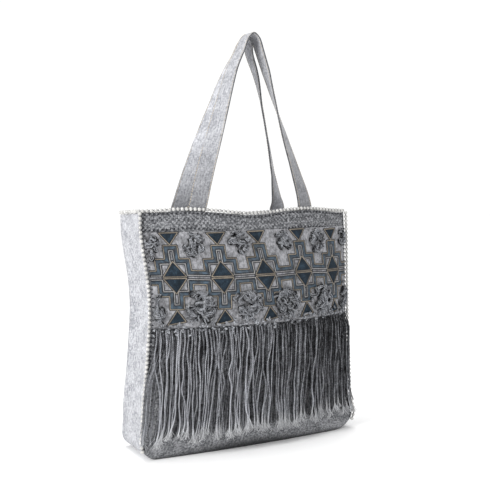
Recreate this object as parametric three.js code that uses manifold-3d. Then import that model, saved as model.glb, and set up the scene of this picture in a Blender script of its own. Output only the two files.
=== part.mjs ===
// A soft shoulder tote in grey washed canvas. A front and a back panel are joined by one gusset that runs
// down the left side, under the base and up the right side. The front carries an embroidered band with
// ribbon, patches and yarn tufts, a long fringe under it, and a string of beads along its edges and the rim.
// Millimetres. +X goes from left to right as the front is seen, +Y goes to the back, +Z is up.
// The origin is on the floor, in the middle of the base.
import * as THREE from "three";
import { mergeVertices } from "three/addons/utils/BufferGeometryUtils.js";
import Module from "manifold-3d";

const wasm = await Module();
wasm.setup();

// Driving dimensions of the bag's body
const RIM_HEIGHT = 370;
const SEAM_DEPTH = 84; // from the front seam to the back seam, at the sides
const CLOTH = 2; // wall of the panels and the gusset
const GAP = 0.3; // left between pieces that are sewn together
const CORNER_RADIUS = 26; // lower corners of the panels, seen from the front
const RIM_DIP = 6; // the front rim sags by this much between the straps
const RIM_DIP_SPREAD = 48;
const RIM_LIFT = 2.5; // and is lifted by this much outside them
const RIM_LIFT_AT = 118;
const RIM_LIFT_SPREAD = 42;
const RIM_FALL_RIGHT = 6; // it falls by this much at the right seam
const RIM_FALL_START = 50;
const BACK_RIM_DROP = 5; // the back rim is lower than the front one at its ends
const BACK_RIM_DIP = 8; // and lower still in the middle
const BACK_RIM_DIP_SPREAD = 95;

// The body at a few heights: the side seams, how far each panel swells past its seams in the middle,
// and how far the gusset is tucked in between its seams.
const SECTIONS = [
  { height: 0, left: -184, right: 185, frontSwell: 9, backSwell: 7, sideTuck: 0 },
  { height: 40, left: -181, right: 189, frontSwell: 19, backSwell: 13, sideTuck: 1 },
  { height: 80, left: -179, right: 189, frontSwell: 27, backSwell: 18, sideTuck: 2 },
  { height: 125, left: -174, right: 187, frontSwell: 33, backSwell: 21, sideTuck: 4 },
  { height: 175, left: -170, right: 184, frontSwell: 37, backSwell: 23, sideTuck: 6 },
  { height: 227, left: -167, right: 182, frontSwell: 38, backSwell: 24, sideTuck: 7 },
  { height: 272, left: -170, right: 181, frontSwell: 36, backSwell: 22, sideTuck: 6 },
  { height: 310, left: -176, right: 180, frontSwell: 30, backSwell: 18, sideTuck: 4 },
  { height: 340, left: -180, right: 179, frontSwell: 24, backSwell: 14, sideTuck: 2 },
  { height: 376, left: -181, right: 177, frontSwell: 17, backSwell: 10, sideTuck: 1 },
];
const PANEL_HEIGHTS = [0, 3, 12, 26, 55, 95, 135, 175, 215, 255, 290, 320, 345, 370];
const PANEL_COLUMNS = 12;
const GUSSET_COLUMNS = 4;
const CORNER_STEPS = 5;
const BASE_STEPS = 10;

// Straps
const STRAP_WIDTH = 28;
const STRAP_THICKNESS = 3;
const STRAP_TAIL = 38; // sewn inside the rim
const STRAP_TAIL_GAP = 1.2;
const STRAP_LEAN_APEX = { front: -11, back: 5 }; // the straps' middles from front to back, at the top
const STRAP_ROOT_TURN = { front: 8, back: -5 }; // degrees, along the panel that each strap is sewn to
const STRAP_STEPS = 54;
const STRAP_ROOT_HEIGHT = 371;
// Where the legs' middles lie from side to side; rise goes from 0 at the rim to 1 at the strap's apex.
const STRAP_COURSE = [
  { rise: 0, frontLeft: -95.8, frontRight: 97.5, backLeft: -80.3, backRight: 101.4 },
  { rise: 0.05, frontLeft: -90.7, frontRight: 96.5, backLeft: -76.1, backRight: 99 },
  { rise: 0.21, frontLeft: -77, frontRight: 85.6, backLeft: -62.8, backRight: 88.2 },
  { rise: 0.43, frontLeft: -55.3, frontRight: 68, backLeft: -43.3, backRight: 72.2 },
  { rise: 0.63, frontLeft: -35.4, frontRight: 53.6, backLeft: -25.4, backRight: 56.8 },
  { rise: 0.79, frontLeft: -18.4, frontRight: 42.4, backLeft: -10.2, backRight: 43 },
  { rise: 0.91, frontLeft: -0.6, frontRight: 33, backLeft: 5.3, backRight: 28.6 },
  { rise: 0.975, frontLeft: 9.2, frontRight: 27.4, backLeft: 12.3, backRight: 23.6 },
];
// How far each leg has turned at the same rises, in degrees: 0 faces the front, 90 faces the side.
const STRAP_TURN = [
  { rise: 0, frontLeft: 8, frontRight: 8, backLeft: -5, backRight: 3 },
  { rise: 0.05, frontLeft: 13, frontRight: 14, backLeft: 1, backRight: 28 },
  { rise: 0.21, frontLeft: 30, frontRight: 30, backLeft: 20, backRight: 52 },
  { rise: 0.43, frontLeft: 51, frontRight: 46, backLeft: 45, backRight: 59 },
  { rise: 0.63, frontLeft: 68, frontRight: 67, backLeft: 65, backRight: 59 },
  { rise: 0.79, frontLeft: 79, frontRight: 84, backLeft: 78, backRight: 74 },
  { rise: 0.91, frontLeft: 86, frontRight: 87, backLeft: 85, backRight: 83 },
  { rise: 0.975, frontLeft: 89, frontRight: 89, backLeft: 89, backRight: 88 },
];
const STRAP_APEX = { front: { x: 19, z: 647 }, back: { x: 18, z: 640 } };

// The embroidered band and its chart. Places on it are given as the distance along the cloth from the
// middle of the front, and the height above the chart's middle line.
const BAND_BOTTOM = 199;
const BAND_TOP = 342;
const BAND_CLOTH = 1.2;
const BAND_SEAT = 0.6; // between the band and the faceted panel behind it
const BAND_MARGIN = 1.2; // from the side seams
const BAND_ROWS = 7;
const MOTIF_LINE = 272; // height of the chart's middle line
// The motifs are laid by hand: where each one's middle lies along the band and above the chart's line, how far
// it leans for each millimetre upwards, and how wide it is against the chart.
const MOTIFS = [
  { along: -136, lift: 2.6, lean: 0, wide: 1 },
  { along: -63.3, lift: 1.2, lean: 0, wide: 1 },
  { along: 8.2, lift: 1.6, lean: -0.085, wide: 0.99 },
  { along: 81.8, lift: 2.3, lean: -0.06, wide: 0.98 },
  { along: 150, lift: 0, lean: -0.035, wide: 0.86 },
];
const PATCH_CLOTH = 1;
const DIAMOND = { halfWidth: 16.8, height: 23.8, split: 1.6 };
const TOP_TRIANGLE = { halfWidth: 13.6, base: 66.2, tip: 49.4, slant: 0.02 };
const BOTTOM_TRIANGLE = { halfWidth: 12.9, base: -68.1, tip: -49.6, slant: 0.16 };
const PATCH_DIVISIONS = 2;
const RIBBON_WIDTH = 4.4;
const RIBBON = { baseLine: 7.2, shoulder: 22.9, shoulderLine: 24.7, chimney: 7.4, chimneyLine: 44.6 };
const RIBBON_STEP = 18; // longest straight run of one facet
const RIBBON_ENDS = { left: -172.4, right: 184 }; // along the band

// Yarn tufts, in an upper and a lower row between the motifs
const TUFT_ROWS = [
  { row: "upper", above: 50, halfWidth: 21, halfHeight: 20 },
  { row: "lower", above: -44, halfWidth: 24, halfHeight: 26 },
];
const TUFT_DEPTH = 12;
const TUFT_LOCKS = 6;
const TUFT_SEAT = 0.4; // from the faceted band behind it
const TUFT_BACKING = 2.4;
const TUFT_BACKING_SHARE = 0.58; // the backing's part of a tuft's width
const TUFT_ROOT_SHARE = 0.4; // how far out the locks start
const TUFT_TIP_SHARE = 0.88; // and end
const END_TUFTS = [
  { side: "left", along: -162, halfWidth: 11 },
  { side: "right", along: 175, halfWidth: 8 },
];

// Fringe
const FRINGE_TOP = 198.4;
const FRINGE_HEAD_HEIGHT = 9;
const FRINGE_HEAD_DEPTH = 4;
const FRINGE_LOCKS = 30;
const FRINGE_LOCK_WIDTH = 11.4;
const FRINGE_LOCK_DEPTH = 5;
const FRINGE_BOTTOM = { left: 22, right: 30 };
const FRINGE_RAGGED = 4; // the locks' ends differ by up to this much
const FRINGE_LEAN = 0.07; // the locks hang from the swell and lean back towards the panel
const FRINGE_SWAY = 2.6;
const FRINGE_FLARE = { left: 27, right: 18 }; // how far the end locks spread at the bottom
const FRINGE_FLARE_BEND = { left: 1.6, right: 3.5 }; // a higher bend spreads only near the ends
const FRINGE_CLEAR = 1.4;
const FRINGE_STEPS = 5;
const FRINGE_INSET = 5;

// Bead string
const BEAD_RADIUS = 2.9;
const BEAD_SIDES = 8;
const BEAD_SEAM_STEPS = 18;
const BEAD_RIM_STEPS = 62;
const BEAD_FOOT = 15; // the seam strings end this far above the floor
const BEAD_HEAD_GAP = 0.6; // and meet the rim's string with this gap to the rim
const BEAD_PROUD = 0.9; // the rim's beads sit this far outside the wall
const BEAD_SEAT = BEAD_RADIUS + GAP;
const SEAM_BEAD_OUT = BEAD_SEAT * Math.SQRT1_2 + GAP; // out of both walls at a seam
const SEAM_BEAD_HEIGHTS = [BEAD_FOOT, 26, 55, 95, 135, 175, 215, 255, 290, 320, 345];
const RIM_BEAD_TURN = 4; // the rim's string starts to turn this far from a corner
const RIM_BEAD_ENDS = 0.5; // its ends meet this far from the middle of the back

// Colours
const finish = (color, roughness, metalness = 0) =>
  new THREE.MeshStandardMaterial({ color, roughness, metalness });
const FINISH = {
  canvas: finish(0x9fa2aa, 0.92),
  frontWeave: finish(0x83868d, 0.95),
  ground: finish(0xa3a4ac, 0.95),
  ribbon: finish(0x4d6e8a, 0.45),
  patch: finish(0x334555, 0.85),
  tuft: finish(0x7d8087, 1.0),
  yarn: finish(0x64676e, 0.95),
  bead: finish(0xe3e5df, 0.3, 0.1),
};

// Small helpers

const lerp = (a, b, t) => a + (b - a) * t;
const bell = (offset, spread) => Math.exp(-((offset / spread) ** 2));

// A repeatable value from 0 to 1 for the n-th piece.
const scatter = (n, salt) => {
  const wave = Math.sin(n * 12.9898 + salt * 78.233) * 43758.5453;
  return wave - Math.floor(wave);
};

// A smooth curve through the rows of a table, read at one height.
function tableAt(rows, height, column) {
  const last = rows.length - 1;
  let k = 0;
  while (k < last - 1 && height > rows[k + 1].height) k += 1;
  const slopeAt = (i) => {
    const before = rows[Math.max(i - 1, 0)];
    const after = rows[Math.min(i + 1, last)];
    return (after[column] - before[column]) / (after.height - before.height);
  };
  const [low, high] = [rows[k], rows[k + 1]];
  const span = high.height - low.height;
  const t = Math.min(Math.max((height - low.height) / span, 0), 1);
  const bend = t * t * (3 - 2 * t);
  const startPull = (t ** 3 - 2 * t * t + t) * span * slopeAt(k);
  const endPull = (t ** 3 - t * t) * span * slopeAt(k + 1);
  return lerp(low[column], high[column], bend) + startPull + endPull;
}

// A closed surface from vertices and triangles, turned to face outwards.
function closedSurface(points, triangles) {
  let volume = 0;
  for (const [a, b, c] of triangles) volume += points[a].dot(points[b].clone().cross(points[c]));
  const facing = volume > 0 ? triangles : triangles.map(([a, b, c]) => [a, c, b]);
  const geometry = new THREE.BufferGeometry().setFromPoints(points);
  geometry.setIndex(facing.flat());
  return geometry;
}

// A closed wall between two grids of points that have the same rows and columns.
function wallBetween(outer, inner) {
  const rows = outer.length;
  const columns = outer[0].length;
  const at = (row, column, layer) => layer * rows * columns + row * columns + column;
  const triangles = [];
  const quad = (a, b, c, d) => triangles.push([a, b, c], [a, c, d]);
  for (let i = 0; i < rows - 1; i += 1) {
    for (let j = 0; j < columns - 1; j += 1) {
      quad(at(i, j, 0), at(i, j + 1, 0), at(i + 1, j + 1, 0), at(i + 1, j, 0));
      quad(at(i, j, 1), at(i + 1, j, 1), at(i + 1, j + 1, 1), at(i, j + 1, 1));
    }
  }
  for (let j = 0; j < columns - 1; j += 1) {
    quad(at(0, j, 0), at(0, j, 1), at(0, j + 1, 1), at(0, j + 1, 0));
    quad(at(rows - 1, j, 0), at(rows - 1, j + 1, 0), at(rows - 1, j + 1, 1), at(rows - 1, j, 1));
  }
  for (let i = 0; i < rows - 1; i += 1) {
    quad(at(i, 0, 0), at(i + 1, 0, 0), at(i + 1, 0, 1), at(i, 0, 1));
    quad(at(i, columns - 1, 0), at(i, columns - 1, 1), at(i + 1, columns - 1, 1), at(i + 1, columns - 1, 0));
  }
  return closedSurface([...outer.flat(), ...inner.flat()], triangles);
}

// A closed tube with flat ends through rings of points.
function tubeThrough(rings) {
  const sides = rings[0].length;
  const triangles = [];
  for (let i = 0; i < rings.length - 1; i += 1) {
    for (let j = 0; j < sides; j += 1) {
      const next = (j + 1) % sides;
      const [a, b] = [i * sides + j, i * sides + next];
      triangles.push([a, b, b + sides], [a, b + sides, a + sides]);
    }
  }
  const end = (rings.length - 1) * sides;
  for (let j = 1; j < sides - 1; j += 1) {
    triangles.push([0, j + 1, j], [end, end + j, end + j + 1]);
  }
  return closedSurface(rings.flat(), triangles);
}

function solidOf(geometry) {
  const bare = geometry.clone();
  bare.deleteAttribute("normal");
  bare.deleteAttribute("uv");
  const merged = mergeVertices(bare);
  return new wasm.Manifold(
    new wasm.Mesh({
      numProp: 3,
      vertProperties: merged.attributes.position.array,
      triVerts: new Uint32Array(merged.index.array),
    }),
  );
}

function geometryOf(solid) {
  const mesh = solid.getMesh();
  const geometry = new THREE.BufferGeometry();
  geometry.setAttribute("position", new THREE.BufferAttribute(mesh.vertProperties.slice(), 3));
  geometry.setIndex([...mesh.triVerts]);
  return geometry;
}

const fused = (geometries) => geometryOf(geometries.map(solidOf).reduce((whole, next) => whole.add(next)));

const bag = new THREE.Group();

function addPiece(name, geometry, material) {
  geometry.computeVertexNormals();
  const mesh = new THREE.Mesh(geometry, material);
  mesh.name = name;
  bag.add(mesh);
}

// The body's surfaces

const section = (height, column) => tableAt(SECTIONS, height, column);

const rimFall = (x) => RIM_FALL_RIGHT * THREE.MathUtils.smoothstep(x, RIM_FALL_START, SECTIONS.at(-1).right);
const frontRim = (x) =>
  RIM_HEIGHT -
  RIM_DIP * bell(x, RIM_DIP_SPREAD) +
  RIM_LIFT * (bell(x - RIM_LIFT_AT, RIM_LIFT_SPREAD) + bell(x + RIM_LIFT_AT, RIM_LIFT_SPREAD)) -
  rimFall(x);
const backRim = (x) =>
  RIM_HEIGHT - BACK_RIM_DROP - BACK_RIM_DIP * bell(x, BACK_RIM_DIP_SPREAD) - rimFall(x) / 2;

// How far the round lower corner takes the panel's edge in at a height.
const cornerInset = (height) =>
  height >= CORNER_RADIUS ? 0 : CORNER_RADIUS - Math.sqrt(CORNER_RADIUS ** 2 - (CORNER_RADIUS - height) ** 2);
const leftEdge = (height) => section(height, "left") + cornerInset(height);
const rightEdge = (height) => section(height, "right") - cornerInset(height);

// 1 in the middle of a panel and 0 at its side seams.
function crown(x, height) {
  const [left, right] = [section(height, "left"), section(height, "right")];
  const across = (2 * x - left - right) / (right - left);
  return 1 - across * across;
}
const frontY = (x, height) => -SEAM_DEPTH / 2 - section(height, "frontSwell") * crown(x, height);
const backY = (x, height) => SEAM_DEPTH / 2 + section(height, "backSwell") * crown(x, height);

// Panels

function panel(surfaceY, rim, inward) {
  const grid = (offset) =>
    PANEL_HEIGHTS.map((level) =>
      Array.from({ length: PANEL_COLUMNS + 1 }, (_, j) => {
        const x = lerp(leftEdge(level), rightEdge(level), j / PANEL_COLUMNS);
        const z = level * (rim(x) / RIM_HEIGHT);
        return new THREE.Vector3(x, surfaceY(x, z) + offset, z);
      }),
    );
  return wallBetween(grid(0), grid(inward * CLOTH));
}

// The gusset's outline, seen from the front: down the left side, along the base and up the right side.
function gussetOutline() {
  const sideHeights = PANEL_HEIGHTS.filter((level) => level > CORNER_RADIUS);
  const outline = [];
  const side = (edge, level) => outline.push({ x: edge(level), z: level });
  const corner = (edge, inwards, turn) => {
    const angle = (turn * Math.PI) / 2;
    const foot = edge(0);
    const knee = edge(CORNER_RADIUS) + inwards * CORNER_RADIUS;
    const middle = lerp(foot, knee, Math.sin(angle));
    outline.push({
      x: middle - inwards * CORNER_RADIUS * Math.sin(angle),
      z: CORNER_RADIUS * (1 - Math.cos(angle)),
    });
  };
  for (const level of [...sideHeights].reverse()) side(leftEdge, level);
  for (let k = CORNER_STEPS; k >= 0; k -= 1) corner(leftEdge, 1, k / CORNER_STEPS);
  for (let k = 1; k < BASE_STEPS; k += 1) {
    outline.push({ x: lerp(leftEdge(0), rightEdge(0), k / BASE_STEPS), z: 0 });
  }
  for (let k = 0; k <= CORNER_STEPS; k += 1) corner(rightEdge, -1, k / CORNER_STEPS);
  for (const level of sideHeights) side(rightEdge, level);
  return outline;
}

function gusset() {
  const outline = gussetOutline();
  const last = outline.length - 1;
  const inwardAt = (i) => {
    if (outline[i].z === 0) return { x: 0, z: 1 };
    const [a, b] = [outline[Math.max(i - 1, 0)], outline[Math.min(i + 1, last)]];
    const run = Math.hypot(b.x - a.x, b.z - a.z);
    return { x: -(b.z - a.z) / run, z: (b.x - a.x) / run };
  };
  const grid = (depth) =>
    outline.map(({ x, z }, i) => {
      const inward = inwardAt(i);
      const start = frontY(x, z) + CLOTH + GAP;
      const end = backY(x, z) - CLOTH - GAP;
      return Array.from({ length: GUSSET_COLUMNS + 1 }, (_, j) => {
        const across = j / GUSSET_COLUMNS;
        const tuck = section(z, "sideTuck") * 4 * across * (1 - across);
        const reach = depth + tuck;
        const height = z * (lerp(frontRim(x), backRim(x), across) / RIM_HEIGHT);
        return new THREE.Vector3(x + inward.x * reach, lerp(start, end, across), height + inward.z * reach);
      });
    });
  return wallBetween(grid(0), grid(CLOTH));
}

addPiece("front_panel", panel(frontY, frontRim, 1), FINISH.frontWeave);
addPiece("back_panel", panel(backY, backRim, -1), FINISH.canvas);
addPiece("gusset", gusset(), FINISH.canvas);

// Straps

// A strap's middle line, from the tail inside the rim over the apex to the other tail, with its turn.
function strapStations(side) {
  const front = side === "front";
  const apex = STRAP_APEX[side];
  const root = STRAP_ROOT_HEIGHT;
  const rootTurn = STRAP_ROOT_TURN[side];
  const seatGap = CLOTH + STRAP_TAIL_GAP + STRAP_THICKNESS / 2;
  const seatY = (x, z) => (front ? frontY(x, z) + seatGap : backY(x, z) - seatGap);
  const leg = (column, turned) => {
    const rows = STRAP_COURSE.map(({ rise, [column]: x }, k) => {
      const y = lerp(seatY(STRAP_COURSE[0][column], root), STRAP_LEAN_APEX[side], rise);
      const turn = STRAP_TURN[k][column];
      return { place: new THREE.Vector3(x, y, lerp(root, apex.z, rise)), turn: turned ? 180 - turn : turn };
    });
    const tailTurn = turned ? 180 - rootTurn : rootTurn;
    const x = STRAP_COURSE[0][column];
    const tail = [1, 0.5].map((share) => {
      const z = root - STRAP_TAIL * share;
      return { place: new THREE.Vector3(x, seatY(x, z), z), turn: tailTurn };
    });
    return [...tail, ...rows];
  };
  const top = { place: new THREE.Vector3(apex.x, STRAP_LEAN_APEX[side], apex.z), turn: 90 };
  return [...leg(`${side}Left`, false), top, ...leg(`${side}Right`, true).reverse()];
}

function strap(side) {
  const stations = strapStations(side);
  const line = new THREE.CatmullRomCurve3(stations.map((s) => s.place));
  const rings = Array.from({ length: STRAP_STEPS + 1 }, (_, i) => {
    const t = i / STRAP_STEPS;
    const spot = t * (stations.length - 1);
    const k = Math.min(Math.floor(spot), stations.length - 2);
    const turn = THREE.MathUtils.degToRad(lerp(stations[k].turn, stations[k + 1].turn, spot - k));
    const along = line.getTangent(t);
    const across = new THREE.Vector3(Math.cos(turn), -Math.sin(turn), 0);
    across.addScaledVector(along, -across.dot(along)).normalize();
    const out = new THREE.Vector3().crossVectors(across, along);
    const corner = (w, n) =>
      line
        .getPoint(t)
        .addScaledVector(across, (w * STRAP_WIDTH) / 2)
        .addScaledVector(out, (n * STRAP_THICKNESS) / 2);
    return [corner(-1, -1), corner(1, -1), corner(1, 1), corner(-1, 1)];
  });
  return tubeThrough(rings);
}

addPiece("strap_front", strap("front"), FINISH.canvas);
addPiece("strap_back", strap("back"), FINISH.canvas);

// Places on the embroidered band

const ARC_STEP = 1;

// The x that lies a given length along the cloth from the middle of the front.
function xAlong(distance) {
  const way = Math.sign(distance);
  let [x, run] = [0, 0];
  while (run < Math.abs(distance)) {
    const step = Math.min(ARC_STEP, Math.abs(distance) - run);
    const slope = (frontY(x + way * 0.5, MOTIF_LINE) - frontY(x - way * 0.5, MOTIF_LINE)) / way;
    x += (way * step) / Math.hypot(1, slope);
    run += step;
  }
  return x;
}

function onFront(x, z, proud) {
  return new THREE.Vector3(x, frontY(x, z) - proud, z);
}

// A place on the band. Its columns keep their share of the width between the side seams at every height.
function onBand(along, above, proud) {
  const z = MOTIF_LINE + above;
  const [left, right] = [leftEdge(MOTIF_LINE), rightEdge(MOTIF_LINE)];
  const share = (xAlong(along) - left) / (right - left);
  return onFront(lerp(leftEdge(z), rightEdge(z), share), z, proud);
}
const BAND_FACE = BAND_SEAT + BAND_CLOTH;
const PATCH_BACK = BAND_FACE + GAP;
const PATCH_FACE = PATCH_BACK + PATCH_CLOTH;

function embroideredBand() {
  const grid = (proud) =>
    Array.from({ length: BAND_ROWS + 1 }, (_, i) => {
      const z = lerp(BAND_BOTTOM, BAND_TOP, i / BAND_ROWS);
      return Array.from({ length: PANEL_COLUMNS + 1 }, (__, j) => {
        const share = j / PANEL_COLUMNS;
        return onFront(lerp(leftEdge(z) + BAND_MARGIN, rightEdge(z) - BAND_MARGIN, share), z, proud);
      });
    });
  return wallBetween(grid(BAND_FACE), grid(BAND_SEAT));
}

// A triangular patch, divided so that it follows the curve of the cloth.
function trianglePatch(corners) {
  const n = PATCH_DIVISIONS;
  const index = new Map();
  const spots = [];
  for (let i = 0; i <= n; i += 1) {
    for (let j = 0; j <= n - i; j += 1) {
      index.set(`${i},${j}`, spots.length);
      const weights = [i / n, j / n, (n - i - j) / n];
      const mix = (key) => corners.reduce((sum, corner, c) => sum + corner[key] * weights[c], 0);
      spots.push({ along: mix("along"), above: mix("above") });
    }
  }
  const at = (i, j, layer) => index.get(`${i},${j}`) + layer * spots.length;
  const triangles = [];
  for (let i = 0; i < n; i += 1) {
    for (let j = 0; j < n - i; j += 1) {
      triangles.push([at(i, j, 0), at(i + 1, j, 0), at(i, j + 1, 0)]);
      triangles.push([at(i, j, 1), at(i, j + 1, 1), at(i + 1, j, 1)]);
      if (j < n - i - 1) {
        triangles.push([at(i + 1, j, 0), at(i + 1, j + 1, 0), at(i, j + 1, 0)]);
        triangles.push([at(i + 1, j, 1), at(i, j + 1, 1), at(i + 1, j + 1, 1)]);
      }
    }
  }
  const edge = (a, b) => {
    triangles.push([at(...b, 0), at(...a, 0), at(...a, 1)], [at(...b, 0), at(...a, 1), at(...b, 1)]);
  };
  for (let k = 0; k < n; k += 1) {
    edge([k, 0], [k + 1, 0]);
    edge([n - k, k], [n - k - 1, k + 1]);
    edge([0, n - k], [0, n - k - 1]);
  }
  const layer = (proud) => spots.map(({ along, above }) => onBand(along, above, proud));
  return closedSurface([...layer(PATCH_FACE), ...layer(PATCH_BACK)], triangles);
}

// A place on the band, from a place in a motif's own chart.
const inMotif = ({ along, lift, lean, wide }, across, above) => ({
  along: along + wide * across + lean * above,
  above: lift + above,
});

// A patch of a motif: its base, which may slant up to the right, and its tip.
function tippedPatch(motif, { halfWidth, base, tip, slant = 0 }) {
  return trianglePatch([
    inMotif(motif, -halfWidth, base - slant * halfWidth),
    inMotif(motif, halfWidth, base + slant * halfWidth),
    inMotif(motif, 0, tip),
  ]);
}

// The stepped course of a ribbon, as places along the band. way is 1 above the middle line and -1 below it.
function ribbonCourse(way) {
  const { baseLine, shoulder, shoulderLine, chimney, chimneyLine } = RIBBON;
  const steps = [
    [-shoulder, baseLine],
    [-shoulder, shoulderLine],
    [-chimney, shoulderLine],
    [-chimney, chimneyLine],
    [chimney, chimneyLine],
    [chimney, shoulderLine],
    [shoulder, shoulderLine],
    [shoulder, baseLine],
  ];
  const courses = MOTIFS.map((motif) => steps.map(([across, above]) => inMotif(motif, across, way * above)));
  const end = (side, motif) => ({ along: RIBBON_ENDS[side], above: motif.lift + way * baseLine });
  return [end("left", MOTIFS[0]), ...courses.flat(), end("right", MOTIFS.at(-1))];
}

// A flat ribbon along a course, with mitred corners.
function ribbon(way) {
  const turns = ribbonCourse(way);
  const stops = [turns[0]];
  for (let k = 1; k < turns.length; k += 1) {
    const [a, b] = [turns[k - 1], turns[k]];
    const pieces = Math.ceil(Math.hypot(b.along - a.along, b.above - a.above) / RIBBON_STEP);
    for (let n = 1; n <= pieces; n += 1) {
      stops.push({ along: lerp(a.along, b.along, n / pieces), above: lerp(a.above, b.above, n / pieces) });
    }
  }
  const heading = (a, b) => {
    const run = Math.hypot(b.along - a.along, b.above - a.above);
    return { along: (b.along - a.along) / run, above: (b.above - a.above) / run };
  };
  const edgeAt = (k, side, proud) => {
    const before = heading(stops[Math.max(k - 1, 0)], stops[Math.max(k, 1)]);
    const after = heading(stops[Math.min(k, stops.length - 2)], stops[Math.min(k + 1, stops.length - 1)]);
    const mitre = { along: -(before.above + after.above), above: before.along + after.along };
    const scale = (side * RIBBON_WIDTH) / (mitre.along ** 2 + mitre.above ** 2);
    return onBand(stops[k].along + mitre.along * scale, stops[k].above + mitre.above * scale, proud);
  };
  const face = (proud) => stops.map((_, k) => [edgeAt(k, -1, proud), edgeAt(k, 1, proud)]);
  return wallBetween(face(PATCH_FACE), face(PATCH_BACK));
}

addPiece("embroidered_band", embroideredBand(), FINISH.ground);
addPiece("stepped_ribbon_upper", ribbon(1), FINISH.ribbon);
addPiece("stepped_ribbon_lower", ribbon(-1), FINISH.ribbon);
MOTIFS.forEach((motif, k) => {
  for (const [row, way] of [["upper", 1], ["lower", -1]]) {
    const half = { halfWidth: DIAMOND.halfWidth, base: way * DIAMOND.split, tip: way * DIAMOND.height };
    addPiece(`diamond_${row}_${k + 1}`, tippedPatch(motif, half), FINISH.patch);
  }
  addPiece(`top_triangle_${k + 1}`, tippedPatch(motif, TOP_TRIANGLE), FINISH.patch);
  addPiece(`bottom_triangle_${k + 1}`, tippedPatch(motif, BOTTOM_TRIANGLE), FINISH.patch);
});

// Tufts

// A short tongue of yarn with a square root and a smaller tip, in the tuft's own frame: x along the cloth,
// y up, z out of the cloth.
function tongue(root, tip) {
  const square = [[-1, -1], [1, -1], [1, 1], [-1, 1]];
  const ring = ({ x, y, z, half }) =>
    square.map(([sx, sy]) => new THREE.Vector3(x + sx * half, y + sy * half, z));
  return tubeThrough([ring(root), ring(tip)]);
}

function tuft(along, above, halfWidth, halfHeight, salt) {
  const stout = Math.min(halfWidth, halfHeight) / TUFT_ROWS[0].halfWidth;
  const outline = new THREE.Shape();
  outline.absellipse(0, 0, halfWidth * TUFT_BACKING_SHARE, halfHeight * TUFT_BACKING_SHARE, 0, Math.PI * 2);
  const backing = new THREE.ExtrudeGeometry(outline, {
    depth: TUFT_BACKING,
    bevelEnabled: false,
    curveSegments: 4,
  });
  const rootZ = TUFT_BACKING * 0.4;
  const tongues = Array.from({ length: TUFT_LOCKS }, (_, k) => {
    const angle = ((k + 0.4 * scatter(k, salt)) / TUFT_LOCKS) * Math.PI * 2;
    const [c, s] = [Math.cos(angle), Math.sin(angle)];
    const lift = TUFT_DEPTH * lerp(0.55, 0.8, scatter(k, salt + 1));
    const at = (share) => ({ x: c * halfWidth * share, y: s * halfHeight * share });
    return tongue(
      { ...at(TUFT_ROOT_SHARE), z: rootZ, half: 5 * stout },
      { ...at(TUFT_TIP_SHARE), z: lift, half: 3.2 * stout },
    );
  });
  const middle = tongue(
    { x: 0, y: 0, z: rootZ, half: 7 * stout },
    { x: 0, y: 0, z: TUFT_DEPTH, half: 4.5 * stout },
  );
  const geometry = fused([backing, middle, ...tongues]);
  const seat = onBand(along, above, BAND_FACE + TUFT_SEAT);
  const between = (from, to) => onBand(...to, BAND_FACE).sub(onBand(...from, BAND_FACE)).normalize();
  const right = between([along - halfWidth, above], [along + halfWidth, above]);
  const rise = between([along, above - halfHeight], [along, above + halfHeight]);
  const out = new THREE.Vector3().crossVectors(right, rise).normalize();
  const up = new THREE.Vector3().crossVectors(out, right);
  geometry.applyMatrix4(new THREE.Matrix4().makeBasis(right, up, out).setPosition(seat));
  return geometry;
}

TUFT_ROWS.forEach(({ row, above, halfWidth, halfHeight }, salt) => {
  MOTIFS.slice(1).forEach((motif, k) => {
    const along = (MOTIFS[k].along + motif.along) / 2;
    addPiece(`tuft_${row}_${k + 1}`, tuft(along, above, halfWidth, halfHeight, k + 10 * salt), FINISH.tuft);
  });
  for (const end of END_TUFTS) {
    const geometry = tuft(end.along, above, end.halfWidth, halfHeight, end.along + salt);
    addPiece(`tuft_${row}_${end.side}`, geometry, FINISH.tuft);
  }
});

// Fringe: locks of yarn fused to a head tape

function fringeHead() {
  const low = FRINGE_TOP - FRINGE_HEAD_HEIGHT;
  const grid = (proud) =>
    [low, FRINGE_TOP].map((z) =>
      Array.from({ length: PANEL_COLUMNS + 1 }, (_, j) => {
        const share = j / PANEL_COLUMNS;
        return onFront(lerp(leftEdge(z) + FRINGE_INSET, rightEdge(z) - FRINGE_INSET, share), z, proud);
      }),
    );
  return wallBetween(grid(GAP + FRINGE_HEAD_DEPTH), grid(GAP));
}

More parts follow.
